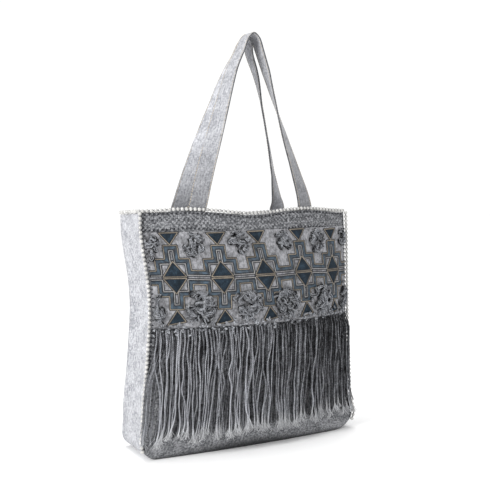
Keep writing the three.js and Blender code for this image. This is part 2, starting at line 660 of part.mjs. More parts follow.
function fringeLock(k) {
  const share = k / (FRINGE_LOCKS - 1);
  const rootZ = FRINGE_TOP - FRINGE_HEAD_HEIGHT * 0.4;
  const inset = FRINGE_INSET + FRINGE_LOCK_WIDTH / 2;
  const rootX = lerp(leftEdge(rootZ) + inset, rightEdge(rootZ) - inset, share);
  const outward = 2 * share - 1;
  const side = outward < 0 ? "left" : "right";
  const flare = FRINGE_FLARE[side] * outward ** 3;
  const sway = FRINGE_SWAY * (2 * scatter(k, 3) - 1);
  const endZ = lerp(FRINGE_BOTTOM.left, FRINGE_BOTTOM.right, share) + FRINGE_RAGGED * scatter(k, 5);
  const rings = Array.from({ length: FRINGE_STEPS + 1 }, (_, i) => {
    const fall = i / FRINGE_STEPS;
    const z = lerp(rootZ, endZ, fall);
    const x = rootX + sway * fall ** 1.6 + flare * fall ** FRINGE_FLARE_BEND[side];
    const taper = i === 0 ? 0.8 : lerp(1, 0.72, fall ** 3);
    const halfWidth = (FRINGE_LOCK_WIDTH / 2) * taper;
    const halfDepth = (FRINGE_LOCK_DEPTH / 2) * taper;
    const hanging = frontY(rootX, rootZ) - GAP - FRINGE_HEAD_DEPTH / 2 + FRINGE_LEAN * (rootZ - z);
    const nearSeam = Math.min(x - leftEdge(z), rightEdge(z) - x) < FRINGE_LOCK_WIDTH;
    const under = nearSeam ? -SEAM_DEPTH / 2 - SEAM_BEAD_OUT - BEAD_RADIUS : frontY(x, z);
    const resting = Math.min(under, frontY(x, z)) - FRINGE_CLEAR - FRINGE_LOCK_DEPTH / 2;
    const y = Math.min(hanging, resting);
    return [[-1, 0], [-0.55, -1], [0.55, -1], [1, 0], [0.55, 1], [-0.55, 1]].map(
      ([w, d]) => new THREE.Vector3(x + w * halfWidth, y + d * halfDepth, z),
    );
  });
  return tubeThrough(rings);
}

const locks = Array.from({ length: FRINGE_LOCKS }, (_, k) => fringeLock(k));
addPiece("fringe", fused([fringeHead(), ...locks]), FINISH.yarn);

// Bead strings, as plain tubes of the beads' diameter

const beadSection = new THREE.Shape(
  Array.from({ length: BEAD_SIDES }, (_, k) => {
    const angle = (2 * Math.PI * k) / BEAD_SIDES;
    return new THREE.Vector2(BEAD_RADIUS * Math.cos(angle), BEAD_RADIUS * Math.sin(angle));
  }),
);

function beadTube(points, steps) {
  const extrudePath = new THREE.CatmullRomCurve3(points, false, "centripetal");
  return new THREE.ExtrudeGeometry(beadSection, { steps, extrudePath, bevelEnabled: false });
}

// Up a side seam of the front, on the corner between the front panel and the gusset.
function seamBeadLine(edge, outward) {
  const head = frontRim(edge(RIM_HEIGHT)) - BEAD_HEAD_GAP;
  return [...SEAM_BEAD_HEIGHTS, head].map((z) => {
    const x = edge(z);
    return new THREE.Vector3(x + outward * SEAM_BEAD_OUT, frontY(x, z) - SEAM_BEAD_OUT, z);
  });
}

// Once round the rim, from the middle of the back and to it again.
function rimBeadLine() {
  const [left, right] = [leftEdge(RIM_HEIGHT), rightEdge(RIM_HEIGHT)];
  const overFront = (x) =>
    new THREE.Vector3(x, frontY(x, frontRim(x)) - BEAD_PROUD, frontRim(x) + BEAD_SEAT);
  const overBack = (x) => new THREE.Vector3(x, backY(x, backRim(x)) + BEAD_PROUD, backRim(x) + BEAD_SEAT);
  const overSide = (x) => (y) => {
    const rim = lerp(frontRim(x), backRim(x), y / SEAM_DEPTH + 0.5);
    return new THREE.Vector3(x, y, rim + BEAD_SEAT);
  };
  const stops = (from, to, count) => Array.from({ length: count + 1 }, (_, k) => lerp(from, to, k / count));
  const sideEnd = SEAM_DEPTH / 2 - RIM_BEAD_TURN;
  return [
    ...stops(-RIM_BEAD_ENDS, left + RIM_BEAD_TURN, 6).map(overBack),
    ...stops(sideEnd, -sideEnd, 3).map(overSide(left - BEAD_PROUD)),
    ...stops(left + RIM_BEAD_TURN, right - RIM_BEAD_TURN, 12).map(overFront),
    ...stops(-sideEnd, sideEnd, 3).map(overSide(right + BEAD_PROUD)),
    ...stops(right - RIM_BEAD_TURN, RIM_BEAD_ENDS, 6).map(overBack),
  ];
}

addPiece("bead_string_left", beadTube(seamBeadLine(leftEdge, -1), BEAD_SEAM_STEPS), FINISH.bead);
addPiece("bead_string_right", beadTube(seamBeadLine(rightEdge, 1), BEAD_SEAM_STEPS), FINISH.bead);
addPiece("bead_string_rim", beadTube(rimBeadLine(), BEAD_RIM_STEPS), FINISH.bead);

export default bag;
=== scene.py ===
import math

import bpy
import numpy as np
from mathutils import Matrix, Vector


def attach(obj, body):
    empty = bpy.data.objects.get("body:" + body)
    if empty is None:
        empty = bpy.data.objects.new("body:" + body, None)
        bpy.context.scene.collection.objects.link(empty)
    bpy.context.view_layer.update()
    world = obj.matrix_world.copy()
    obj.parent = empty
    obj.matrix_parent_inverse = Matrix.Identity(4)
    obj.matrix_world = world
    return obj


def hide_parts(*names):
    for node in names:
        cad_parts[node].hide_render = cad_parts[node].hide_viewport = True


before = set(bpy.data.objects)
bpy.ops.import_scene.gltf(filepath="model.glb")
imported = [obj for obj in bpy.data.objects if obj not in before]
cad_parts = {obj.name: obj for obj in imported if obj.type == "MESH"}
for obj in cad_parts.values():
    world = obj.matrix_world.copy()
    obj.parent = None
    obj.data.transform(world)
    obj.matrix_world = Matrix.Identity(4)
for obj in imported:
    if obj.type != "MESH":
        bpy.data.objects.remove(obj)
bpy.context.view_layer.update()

bl_info = {
    "name": "Fringed tote bag",
    "version": (1, 0, 0),
    "blender": (4, 5, 0),
    "location": "3D View > Sidebar > Tote",
    "description": "Dresses the packed tote bag in cloth, embroidery, yarn and beads",
    "category": "Add Mesh",
}

# Places and sizes below are in millimetres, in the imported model's frame: +X from left to right as the front
# is seen, +Y to the back, +Z up, the origin on the floor in the middle of the base.
MM = 0.001
BODY = "root"


def listed(columns, *rows):
    """The rows of a table as dicts, with the columns' names as keys."""
    return [dict(zip(columns.split(), row)) for row in rows]


# The body of the bag
RIM_HEIGHT = 370
SEAM_DEPTH = 84
GAP = 0.3
CORNER_RADIUS = 26
RIM_DIP, RIM_DIP_SPREAD = 6, 48
RIM_LIFT, RIM_LIFT_AT, RIM_LIFT_SPREAD = 2.5, 118, 42
RIM_FALL_RIGHT, RIM_FALL_START = 6, 50
BACK_RIM_DROP, BACK_RIM_DIP, BACK_RIM_DIP_SPREAD = 5, 8, 95
SECTION_COLUMNS = ("height", "left", "right", "front_swell", "back_swell", "side_tuck")
SECTION_ROWS = (
    (0, -184, 185, 9, 7, 0),
    (40, -181, 189, 19, 13, 1),
    (80, -179, 189, 27, 18, 2),
    (125, -174, 187, 33, 21, 4),
    (175, -170, 184, 37, 23, 6),
    (227, -167, 182, 38, 24, 7),
    (272, -170, 181, 36, 22, 6),
    (310, -176, 180, 30, 18, 4),
    (340, -180, 179, 24, 14, 2),
    (376, -181, 177, 17, 10, 1),
)
SECTIONS = {name: np.array(values, float) for name, values in zip(SECTION_COLUMNS, zip(*SECTION_ROWS))}
RIGHT_PUFF = {"reach": 12, "height": 22, "spread": 24}  # the soft swelling of the lower right corner
CLOTH_STEP = 3.2  # side of a cloth cell
CORNER_ROWS, GUSSET_COLUMNS, BASE_ROWS, BAND_COLUMNS = 12, 26, 103, 116
# Folds of the gusset: place across it, height, spreads and depth
GUSSET_FOLDS = listed(
    "across wide height tall depth",
    (0.3, 0.12, 235, 95, 1.1),
    (0.72, 0.1, 150, 80, 0.9),
)
# Its ripples: depth, run of height for a radian, radians across it, middle and spread up and down
GUSSET_RIPPLE = {"depth": 0.8, "run": 17, "skew": 4, "height": 190, "tall": 110}

# Soft hollows of the cloth: middle, spread from side to side, spread up and down, depth, slant
BACK_HOLLOWS = listed(
    "x z wide tall depth slant",
    (-78, 285, 26, 70, 3.2, 0.25),
    (92, 290, 24, 66, 3.0, -0.22),
    (10, 215, 70, 34, 2.4, 0.1),
    (-110, 120, 34, 60, 2.6, -0.3),
    (118, 110, 30, 64, 2.6, 0.35),
    (4, 70, 60, 26, 1.8, -0.05),
)
FRONT_HOLLOWS = listed(
    "x z wide tall depth slant",
    (-95, 95, 26, 52, 1.8, 0.1),
    (20, 110, 22, 56, 2.0, -0.08),
    (110, 90, 24, 50, 1.8, 0.12),
    (-40, 14, 22, 9, 1.0, 0.0),
    (70, 15, 26, 9, 1.1, 0.0),
    (30, 360, 30, 9, 0.9, 0.0),
    (-70, 359, 26, 9, 0.7, 0.0),
)

# Straps
STRAP_TAIL, STRAP_TAIL_GAP = 38, 1.2
STRAP_LEAN_APEX = {"front": -11, "back": 5}
STRAP_ROOT_TURN = {"front": 8, "back": -5}
STRAP_ROOT_HEIGHT = 371
STRAP_STEPS = 190
STRAP_COLUMNS = ("rise", "front_left", "front_right", "back_left", "back_right")
# Where the legs' middles lie from side to side
STRAP_COURSE = (
    (0, -95.8, 97.5, -80.3, 101.4),
    (0.05, -90.7, 96.5, -76.1, 99),
    (0.21, -77, 85.6, -62.8, 88.2),
    (0.43, -55.3, 68, -43.3, 72.2),
    (0.63, -35.4, 53.6, -25.4, 56.8),
    (0.79, -18.4, 42.4, -10.2, 43),
    (0.91, -0.6, 33, 5.3, 28.6),
    (0.975, 9.2, 27.4, 12.3, 23.6),
)
# How far the legs have turned, in degrees: 0 faces the front, 90 faces the side
STRAP_TURN = (
    (0, 8, 8, -5, 3),
    (0.05, 13, 14, 1, 28),
    (0.21, 30, 30, 20, 52),
    (0.43, 51, 46, 45, 59),
    (0.63, 68, 67, 65, 59),
    (0.79, 79, 84, 78, 74),
    (0.91, 86, 87, 85, 83),
    (0.975, 89, 89, 89, 88),
)
STRAP_APEX = {"front": (19, 647), "back": (18, 640)}
# Half of a strap's section: share of the half width, share of the half thickness
STRAP_SECTION = ((-1, 0.3), (-0.985, 0.85), (-0.95, 0.98), (-0.9, 0.74), (-0.82, 0.95), (-0.3, 1.0),
                 (0.3, 1.0), (0.82, 0.95), (0.9, 0.74), (0.95, 0.98), (0.985, 0.85), (1, 0.3))
STRAP_WAVES = ((0.35, 19, 0), (0.25, 7.3, 1))  # height, run for a radian and start of the waves along it
EDGE_WAVE, WIDTH_WAVE = 0.5, 0.25  # their shares in lifting its edges and in changing its half width
DENT_PLACE, DENT_SPREAD = -0.5, 0.45  # where the dents lie across it, in shares of the half width
STRAP_DENTS = ((150, 9, 1.3), (240, 14, 0.8), (560, 12, -0.9))  # place along the strap, spread, depth
STITCH_LINE, STITCH_SEAT = 0.9, 0.86  # the topstitching's shares of the half width and the half thickness
STRAP_FOOT = (0.37, 0.5)  # heights in metres over which painted shade at a strap's roots gives way to full lightness
STRAP_SHADE, SHADE_TONE = (0.01375, 0.01395), 0.22  # painted shade along its edges, in metres from the middle

# Embroidered band
BAND_BOTTOM, BAND_TOP = 199, 342
BAND_CLOTH, BAND_SEAT, BAND_MARGIN = 1.2, 0.6, 1.2
BAND_FACE = BAND_SEAT + BAND_CLOTH
BELOW_BAND, ABOVE_BAND = (6, 40), (2, 14)  # distances from the band between which the hollows set in
BAND_PUCKER = 0.22  # how far the stitching lifts its cloth
MOTIF_LINE = 272
# The motifs: place along the band, rise over the middle line, lean to the right for each step up, and share
# of the full width
MOTIFS = listed(
    "along lift lean wide",
    (-136, 2.6, 0, 1),
    (-63.3, 1.2, 0, 1),
    (8.2, 1.6, -0.085, 0.99),
    (81.8, 2.3, -0.06, 0.98),
    (150, 0, -0.035, 0.86),
)
DIAMOND = {"half_width": 16.8, "height": 23.8, "split": 1.6}
TOP_TRIANGLE = {"half_width": 13.6, "base": 66.2, "tip": 49.4, "slant": 0.02}
BOTTOM_TRIANGLE = {"half_width": 12.9, "base": -68.1, "tip": -49.6, "slant": 0.16}
PATCH_DIVISIONS = 8
PATCH_RISE, PATCH_DOME = 0.9, 0.7
RIBBON = {"base_line": 7.2, "shoulder": 22.9, "shoulder_line": 24.7, "chimney": 7.4, "chimney_line": 44.6}
RIBBON_ENDS = {"left": -172.4, "right": 184}
RIBBON_STEP = 3
# A ribbon's section: share of the half width, rise off the band
RIBBON_SECTION = ((-1, 0.1), (-0.94, 0.7), (-0.6, 1.1), (0, 1.3), (0.6, 1.1), (0.94, 0.7), (1, 0.1))
RIBBON_RIPPLE, RIBBON_RIPPLE_RUN = 0.12, 2.9  # height of its ripples, and their run for a radian
RIBBON_SINK = 0.2  # how deep its underside lies in the band
OUTER_CORD_OFFSET = 0.95  # past the ribbon's outer edge
INNER_CORD_OFFSET = 2.0  # inside the ribbon's inner edge
# Thin dark lines of painted shade lie in the gaps beside the cords and along the patches' edges
DARK_INNER_OFFSETS = (0.55, 3.4)  # painted shade: dark lines on both sides of it
DARK_OUTER_OFFSETS = (0.05, 1.95)  # and on both sides of the tan cord
DARK_PATCH_OFFSETS = (-0.75, 1.5)  # and on both sides of a patch's edge
SHADE_LINE_WIDTH = 1.15
CORD_STEP = 2.0
CORD_CORNER = 1.3
# How high the cords' middles lie over the band, in shares of their radius
TAN_SEAT, PALE_SEAT, DARK_SEAT, DARK_INNER_SEAT = 0.8, 0.9, 0.8, 0.6
PATCH_CORD_OFFSET, PATCH_CORD_SEAT = 0.4, 0.75  # past a patch's edge, and the share of the patch's rise
CORD_SIDES, CORD_SEED = 6, 41

# Yarn tufts
TUFT_ROWS = listed(
    "row above half_width half_height",
    ("upper", 50, 21, 20),
    ("lower", -44, 28, 26),
)
END_TUFTS = (("left", -162, 11), ("right", 175, 8))  # side, place along the band, half width
TUFT_SEAT, TUFT_DEPTH = 0.4, 11.5
YARN_POINTS = 10
TUFT_LOCKS = 42  # in a full tuft
TUFT_SIDES, TUFT_SEED = 4, 7
LOCK_GIRTH = (1.1, 2.2)  # radius of a lock
LOCK_SPREAD, LOCK_LIFT = 0.85, 0.25  # share of the tuft that the locks start in, and how far up it is moved
LOCK_CRIMP, LOCK_CRIMPS = 0.6, (0.6, 1.5)  # how far a lock swings to and fro, in radians, and how often
LOCK_STRAY, LOCK_CURL = 0.75, (0.8, 4.0)  # how far its start turns from straight down, and how far it curls
LOCK_LENGTH, LOCK_REACH = (0.4, 0.95), (0.75, 1.08)  # in shares of the tuft's half height and half sizes
LOCK_TWIST, LOCK_LEVEL = (1.5, 4.0), (0.25, 0.75)  # in radians, and as a share of the tuft's depth
# The yarns of a lock: how many, radius, tone, reach from the lock's middle, and their share of its height and
# of its roundness. The first, low ones are near black, painted shade deep in the lock.
LOCK_COLUMNS = "strands thick shade reach level round"
LOCK_YARNS = listed(
    LOCK_COLUMNS,
    (3, (0.9, 1.3), (0.0, 0.08), (0.4, 2.6), 0.25, 0.1),
    (6, (0.5, 0.75), (0.0, 0.66), (0.6, 1.05), 1, 1),
    (2, (0.3, 0.45), (0.4, 0.95), (1.1, 1.8), 1, 1),
)
HEAD_YARNS = listed(LOCK_COLUMNS, (5, (0.5, 0.85), (0.1, 0.95), (0.5, 1.3), 1, 1))
HEAD_LOCK = (10, 8, 7)  # half width, half height and depth of a lock on the fringe's head
HEAD_INSET, HEAD_RISE, HEAD_SEAT, HEAD_SPAN, HEAD_SEED = 4, 9, 0.2, 4, 31

# Fringe
FRINGE_TOP, FRINGE_INSET, FRINGE_HEAD_DEPTH = 198.4, 5, 4
HEAD_DROP = {"left": -8, "right": -1}  # how far the curled yarns of the head come down over the fringe
FRINGE_BOTTOM = {"left": 21, "right": 29}
FRINGE_FLARE = {"left": 16, "right": 12}  # how far the end yarns spread at the bottom
FRINGE_FLARE_BEND = {"left": 4.5, "right": 5}  # a higher bend spreads only near the ends
SEAM_SHARE, SEAM_SPREAD = 0.06, 11  # the yarns that hang over the left seam, and how wide they lie
SEAM_LIGHT = 0.34  # how much lighter they are
# Where the outermost of them lies from the seam, by height
SEAM_COVER_HEIGHTS, SEAM_COVER_INSIDE = (25, 40, 62, 118, 142), (-8, -9, -5, -5, 0.5)
RIGHT_COVER = 7.5  # how far the outermost yarns on the right go over the right seam
FRINGE_LEAN, FRINGE_CLEAR = 0.07, 1.0
FRINGE_CLUMPS, FRINGE_SWAY = 20, 3.2
FRINGE_POINTS = 24
FRINGE_SHADOW = 0.42  # painted shade: how much darker the yarns on the right are, for the less light they get
# Fine dark yarns behind, thick pale ones in front. Fray gives the fibres at a yarn's end, cover tells whether
# the outermost ones hang over the left seam.
FRINGE_LAYERS = listed(
    "layer thick shade proud wander gather slant short tip fray cover seed",
    ("under", (0.55, 0.85), (0.0, 0.22), (0.2, 1.6), 1.2, 0.1, 1.0, (8, 24), 0.0, 0, 1, 11),
    ("middle", (0.5, 0.8), (0.05, 0.5), (1.0, 3.0), 1.6, 0.4, 2.2, (2, 18), 0.1, 1, 1, 17),
    ("over", (0.8, 1.25), (0.5, 1.0), (2.4, 5.2), 1.7, 0.7, 2.8, (0, 16), 0.35, 15, 0, 23),
)
FRINGE_SIDES, FRAY_SIDES, CLUMP_SEED = 5, 3, 5
ROOT_DEPTH, CLUMP_SHORT = (0.5, 3.5), (0, 18)  # of a yarn in the head, and of a clump over the lower edge
GATHER_RANGE = (0.6, 1.05)  # how much of its layer's gathering a yarn takes part in
NEAR_SEAM, SEAM_BEAD_ROOM = (18, 8), 0.95  # where yarns start to clear the beads, and by how many diameters
FRAY_POINTS = 4
FRAY_FAN = ((-0.5, 0.5), (-0.25, 0.1), (-0.05, 0.12))  # how far a fibre leans from side to side, out and up
FRAY_REACH, FRAY_THICK, FRAY_FLOOR = (-1, 7), (0.6, 0.35), 4  # past the yarn's end, radii, lowest height

# Beads
BEAD_FOOT, BEAD_HEAD_GAP, BEAD_PROUD, RIM_BEAD_TURN, RIM_BEAD_ENDS = 15, 0.6, 0.9, 4, 0.5
BEAD_SEED = 3
SEAM_BEAD_HEIGHTS = (BEAD_FOOT, 26, 55, 95, 135, 175, 215, 255, 290, 320, 345)

# Stitches of the front; the dark rim row is painted shade under the rim's beads
STITCH_ROWS = listed(
    "row below_rim pitch long thick slant dark",
    ("rim", 2.8, 6.65, 3.6, 2.6, 0.0, True),
    ("border_upper", 10.5, 6.0, 2.6, 1.2, 0.5, True),
    ("border_middle", 17.5, 5.4, 2.6, 1.2, -0.5, False),
    ("border_lower", 25.5, 6.2, 3.6, 2.1, 0.9, True),
)
# Dark marks of painted shade beside the seams' beads: how far inside the seam, length, thickness, slant
SEAM_SHADE_MARK = {"inside": 2.8, "long": 3.8, "thick": 2.2, "slant": 1.57}
BORDER_PROUD, SEAM_PROUD = 0.3, 0.4  # how far the stitches' middles lie off the cloth
BORDER_INSET, STITCH_SEED = 6, 5

# The camera and the light of the studio
CAMERA_PLACE = (-668.4, -1252.3, 427.8)
CAMERA_TURN, CAMERA_DIP = math.radians(28.637), math.radians(4.585)
CAMERA_LENS, CAMERA_SENSOR = 65.27, 36.0
FLOOR_RADIUS = 9.0
# An area light's width is in metres, a sun's in degrees
LIGHTS = listed(
    "light kind place aim power width",
    ("key", "AREA", (-2.4, -0.6, 1.3), (0, 0, 0.3), 62, 1.2),
    ("fill", "AREA", (0.6, -2.4, 0.8), (0, 0, 0.4), 15, 1.6),
    ("top", "SUN", (0.05, 0.35, 2.5), (0, 0, 0), 1.9, 50),
)
BACKDROP = 1.05  # how bright the camera sees the sky
SKY_FILL = 0.55  # how bright it is for the bag


# Settings that a user would change


def length(name, description, millimetres):
    return bpy.props.FloatProperty(
        name=name, description=description, default=millimetres * MM, min=0.0, precision=4, unit="LENGTH"
    )


def count(name, description, default):
    return bpy.props.IntProperty(name=name, description=description, default=default, min=3)


def colour(name, description, default):
    return bpy.props.FloatVectorProperty(
        name=name, description=description, default=default, size=3, min=0.0, max=1.0, subtype="COLOR"
    )


class ToteSizes(bpy.types.PropertyGroup):
    """Sizes of the cloths, yarns, stitches and beads."""

    cloth: length("Cloth", "Wall of the panels and the gusset", 2.0)
    strap_width: length("Strap width", "Width of both straps", 28)
    strap_thickness: length("Strap thickness", "Thickness of both straps", 3)
    ribbon_width: length("Ribbon width", "Width of the stepped ribbons", 4.4)
    outline_cord: length("Outline cord", "Diameter of the tan cord round ribbons and patches", 1.45)
    inner_cord: length("Inner cord", "Diameter of the pale cord inside the ribbons", 1.3)
    bead: length("Bead", "Diameter of a bead", 5.8)
    bead_pitch: length("Bead pitch", "From one bead to the next", 6.65)
    bead_thread: length("Bead thread", "Diameter of the thread through the beads", 2.6)
    stitch: length("Stitch", "Length of a topstitch", 3.6)
    stitch_thickness: length("Stitch thickness", "Thickness of a topstitch", 1.0)
    stitch_pitch: length("Stitch pitch", "From one topstitch to the next", 4.2)
    under_strands: count("Under strands", "Fine dark yarns at the back of the fringe", 290)
    middle_strands: count("Middle strands", "Grey yarns in the middle of the fringe", 210)
    over_strands: count("Over strands", "Thick pale yarns at the front of the fringe", 84)
    head_loops: count("Head loops", "Curled locks along the fringe's head", 170)


class ToteColours(bpy.types.PropertyGroup):
    """Colours of the cloths, yarns, stitches and beads."""

    canvas_dark: colour("Canvas, dark", "Dark threads of the washed canvas", (0.19, 0.195, 0.215))
    canvas_light: colour("Canvas, light", "Light threads of the washed canvas", (0.50, 0.505, 0.53))
    tweed_dark: colour("Front weave, dark", "Dark flecks of the front", (0.026, 0.027, 0.031))
    tweed_mid: colour("Front weave, middle", "Ground of the front's weave", (0.112, 0.116, 0.125))
    tweed_light: colour("Front weave, light", "Light flecks of the front", (0.33, 0.335, 0.35))
    band: colour("Band", "Ground cloth of the embroidery", (0.245, 0.247, 0.262))
    # The ribbon's tones, from dark to light with its patches of painted sheen
    ribbon_dark: colour("Ribbon, dark", "Shaded threads of the ribbon", (0.004, 0.009, 0.015))
    ribbon_light: colour("Ribbon, light", "Bright threads of the ribbon", (0.045, 0.082, 0.120))
    patch: colour("Patch", "Slate cloth of the diamonds and triangles", (0.012, 0.0205, 0.030))
    tan_cord: colour("Tan cord", "Outlines of the motifs", (0.38, 0.33, 0.26))
    pale_cord: colour("Pale cord", "Lines inside the ribbons", (0.47, 0.465, 0.46))
    yarn_dark: colour("Yarn, dark", "Darkest yarn of fringe and tufts", (0.009, 0.0096, 0.0116))
    yarn_light: colour("Yarn, light", "Lightest yarn of fringe and tufts", (0.50, 0.513, 0.555))
    yarn_frayed: colour("Yarn, frayed", "Frayed ends of the yarn", (0.88, 0.89, 0.90))
    wool_light: colour("Wool, light", "Lightest wool of the tufts", (0.55, 0.57, 0.615))
    bead: colour("Bead", "Pearl of the beads", (0.50, 0.495, 0.48))
    bead_thread: colour("Bead thread", "Thread that shows between the beads", (0.22, 0.22, 0.225))
    # The dark thread of the border; the same tone paints the shade beside the cords and patches and by the
    # beads
    thread_dark: colour("Dark thread", "Thread beside the cords and in the border", (0.022, 0.023, 0.028))
    topstitch: colour("Topstitch", "Thread along the straps", (0.45, 0.39, 0.30))
    floor: colour("Floor", "Studio floor", (0.92, 0.92, 0.92))


def sizes():
    return bpy.context.scene.tote_sizes


def colours():
    return bpy.context.scene.tote_colours


def in_mm(size):
    return size / MM


# Curves and surfaces of the body


def lerp(start, end, share):
    return start + (end - start) * share


def bell(offset, spread):
    return np.exp(-((offset / spread) ** 2))


def ease(start, end, value):
    share = np.clip((value - start) / (end - start), 0, 1)
    return share * share * (3 - 2 * share)


def section(height, column):
    """A smooth curve through one column of the table of sections, read at a height."""
    heights, values = SECTIONS["height"], SECTIONS[column]
    last = len(heights) - 1
    before, after = np.maximum(np.arange(last + 1) - 1, 0), np.minimum(np.arange(last + 1) + 1, last)
    slopes = (values[after] - values[before]) / (heights[after] - heights[before])
    k = np.clip(np.searchsorted(heights, height, side="left") - 1, 0, last - 1)
    span = heights[k + 1] - heights[k]
    t = np.clip((height - heights[k]) / span, 0, 1)
    pull = (t**3 - 2 * t * t + t) * slopes[k] + (t**3 - t * t) * slopes[k + 1]
    return lerp(values[k], values[k + 1], t * t * (3 - 2 * t)) + pull * span


def rim_fall(x):
    return RIM_FALL_RIGHT * ease(RIM_FALL_START, SECTIONS["right"][-1], x)


def front_rim(x):
    lift = bell(x - RIM_LIFT_AT, RIM_LIFT_SPREAD) + bell(x + RIM_LIFT_AT, RIM_LIFT_SPREAD)
    return RIM_HEIGHT - RIM_DIP * bell(x, RIM_DIP_SPREAD) + RIM_LIFT * lift - rim_fall(x)


def back_rim(x):
    return RIM_HEIGHT - BACK_RIM_DROP - BACK_RIM_DIP * bell(x, BACK_RIM_DIP_SPREAD) - rim_fall(x) / 2


def corner_inset(height):
    drop = np.clip(CORNER_RADIUS - height, 0, CORNER_RADIUS)
    return CORNER_RADIUS - np.sqrt(CORNER_RADIUS**2 - drop**2)


def left_edge(height):
    return section(height, "left") + corner_inset(height)


def right_edge(height):
    puff = RIGHT_PUFF["reach"] * bell(height - RIGHT_PUFF["height"], RIGHT_PUFF["spread"])
    return section(height, "right") - corner_inset(height) + puff


def crown(x, height):
    left, right = section(height, "left"), section(height, "right")
    return 1 - ((2 * x - left - right) / (right - left)) ** 2


def front_y(x, height):
    return -SEAM_DEPTH / 2 - section(height, "front_swell") * crown(x, height)


def back_y(x, height):
    return SEAM_DEPTH / 2 + section(height, "back_swell") * crown(x, height)


def hollows(table, x, z):
    """How deep the soft hollows of a table press the cloth in."""
    deep = np.zeros_like(x)
    for spot in table:
        up = z - spot["z"]
        across = x - spot["x"] - spot["slant"] * up
        deep = deep + spot["depth"] * bell(across, spot["wide"]) * bell(up, spot["tall"])
    return deep


def smooth_line(points, places):
    """Places and directions on a centripetal curve through points; places run from 0 to 1."""
    points = np.asarray(points, float)
    line = np.vstack([2 * points[0] - points[1], points, 2 * points[-1] - points[-2]])
    spot = np.asarray(places) * (len(points) - 1)
    k = np.minimum(spot.astype(int), len(points) - 2)
    t = (spot - k)[:, None]
    p0, p1, p2, p3 = (line[k + n] for n in range(4))
    d0, d1, d2 = (np.linalg.norm(b - a, axis=1)[:, None] ** 0.5 for a, b in ((p0, p1), (p1, p2), (p2, p3)))
    out = ((p1 - p0) / d0 - (p2 - p0) / (d0 + d1) + (p2 - p1) / d1) * d1
    into = ((p2 - p1) / d1 - (p3 - p1) / (d1 + d2) + (p3 - p2) / d2) * d1
    square, cube = -3 * p1 + 3 * p2 - 2 * out - into, 2 * p1 - 2 * p2 + out + into
    place = p1 + out * t + square * t**2 + cube * t**3
    way = out + 2 * square * t + 3 * cube * t**2
    return place, unit(way)


def unit(vectors):
    return vectors / np.linalg.norm(vectors, axis=-1, keepdims=True)


def run_along(points):
    """How far along a line each of its points lies."""
    return np.concatenate([[0.0], np.cumsum(np.linalg.norm(np.diff(points, axis=0), axis=1))])


# Meshes


def facing_out(points, faces):
    """The faces of a closed mesh, all turned round if they point inwards."""
    corners = [points[faces[:, k]] for k in range(faces.shape[1])]
    volume = 0.0
    for k in range(1, faces.shape[1] - 1):
        volume += np.einsum("ij,ij->", corners[0], np.cross(corners[k], corners[k + 1]))
    return faces if volume > 0 else faces[:, ::-1]


def add_piece(name, mesh, nodes=()):
    """Puts a finished mesh in the scene as a piece that stands for CAD nodes."""
    piece = bpy.data.objects.new(name, mesh)
    bpy.context.scene.collection.objects.link(piece)
    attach(piece, BODY)
    if nodes:
        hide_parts(*nodes)
    return piece


def closed_mesh(name, points, faces, materials, uv=None, face_materials=None):
    """A smooth closed mesh from points in millimetres, with a UV map in metres."""
    faces = facing_out(points, np.asarray(faces))
    mesh = bpy.data.meshes.new(name)
    mesh.from_pydata((points * MM).tolist(), [], faces.tolist())
    for material in materials:
        mesh.materials.append(material)
    mesh.polygons.foreach_set("use_smooth", np.ones(len(faces), bool))
    if face_materials is not None:
        mesh.polygons.foreach_set("material_index", np.asarray(face_materials, np.int32))
    if uv is not None:
        layer = mesh.uv_layers.new(name="cloth")
        corners = np.empty(len(mesh.loops), np.int32)
        mesh.loops.foreach_get("vertex_index", corners)
        layer.data.foreach_set("uv", (uv[corners] * MM).astype(np.float32).ravel())
    mesh.update()
    return mesh


def wall_mesh(name, outer, inner, materials):
    """A closed wall between two grids of points. The first material is outside, the last one inside."""
    rows, columns = outer.shape[:2]
    n = rows * columns
    index = np.arange(n).reshape(rows, columns)
    outside = np.stack([index[:-1, :-1], index[:-1, 1:], index[1:, 1:], index[1:, :-1]], -1).reshape(-1, 4)
    inside = outside[:, ::-1] + n
    ring = np.concatenate([index[0, :], index[1:, -1], index[-1, -2::-1], index[-2:0:-1, 0]])
    after = np.roll(ring, -1)
    edge = np.stack([after, ring, ring + n, after + n], -1)
    across = np.linalg.norm(np.diff(outer, axis=1), axis=2)
    upward = np.linalg.norm(np.diff(outer, axis=0), axis=2)
    u = np.pad(np.cumsum(across, axis=1), ((0, 0), (1, 0)))
    v = np.pad(np.cumsum(upward, axis=0), ((1, 0), (0, 0)))
    u = u - u[:, columns // 2][:, None]
    uv = np.tile(np.stack([u.ravel(), v.ravel()], -1), (2, 1))
    points = np.vstack([outer.reshape(-1, 3), inner.reshape(-1, 3)])
    wearing = np.zeros(len(outside) * 2 + len(edge), np.int32)
    wearing[len(outside) : len(outside) * 2] = len(materials) - 1
    return closed_mesh(name, points, np.vstack([outside, inside, edge]), materials, uv, wearing)


def tube_mesh(name, rings, materials, uv):
    """A closed tube with fanned ends through rings of points."""
    count_rings, sides = rings.shape[:2]
    points = np.vstack([rings.reshape(-1, 3), rings[0].mean(0), rings[-1].mean(0)])
    start, end = len(points) - 2, len(points) - 1
    index = np.arange(count_rings * sides).reshape(count_rings, sides)
    after = np.roll(index, -1, axis=1)
    body = np.stack([index[:-1], after[:-1], after[1:], index[1:]], -1).reshape(-1, 4)
    triangles = np.vstack([body[:, [0, 1, 2]], body[:, [0, 2, 3]]])
    first = np.stack([after[0], index[0], np.full(sides, start)], -1)
    last = np.stack([index[-1], after[-1], np.full(sides, end)], -1)
    uv = np.vstack([uv.reshape(-1, 2), uv[0].mean(0), uv[-1].mean(0)])
    return closed_mesh(name, points, np.vstack([triangles, first, last]), materials, uv)


# Node trees


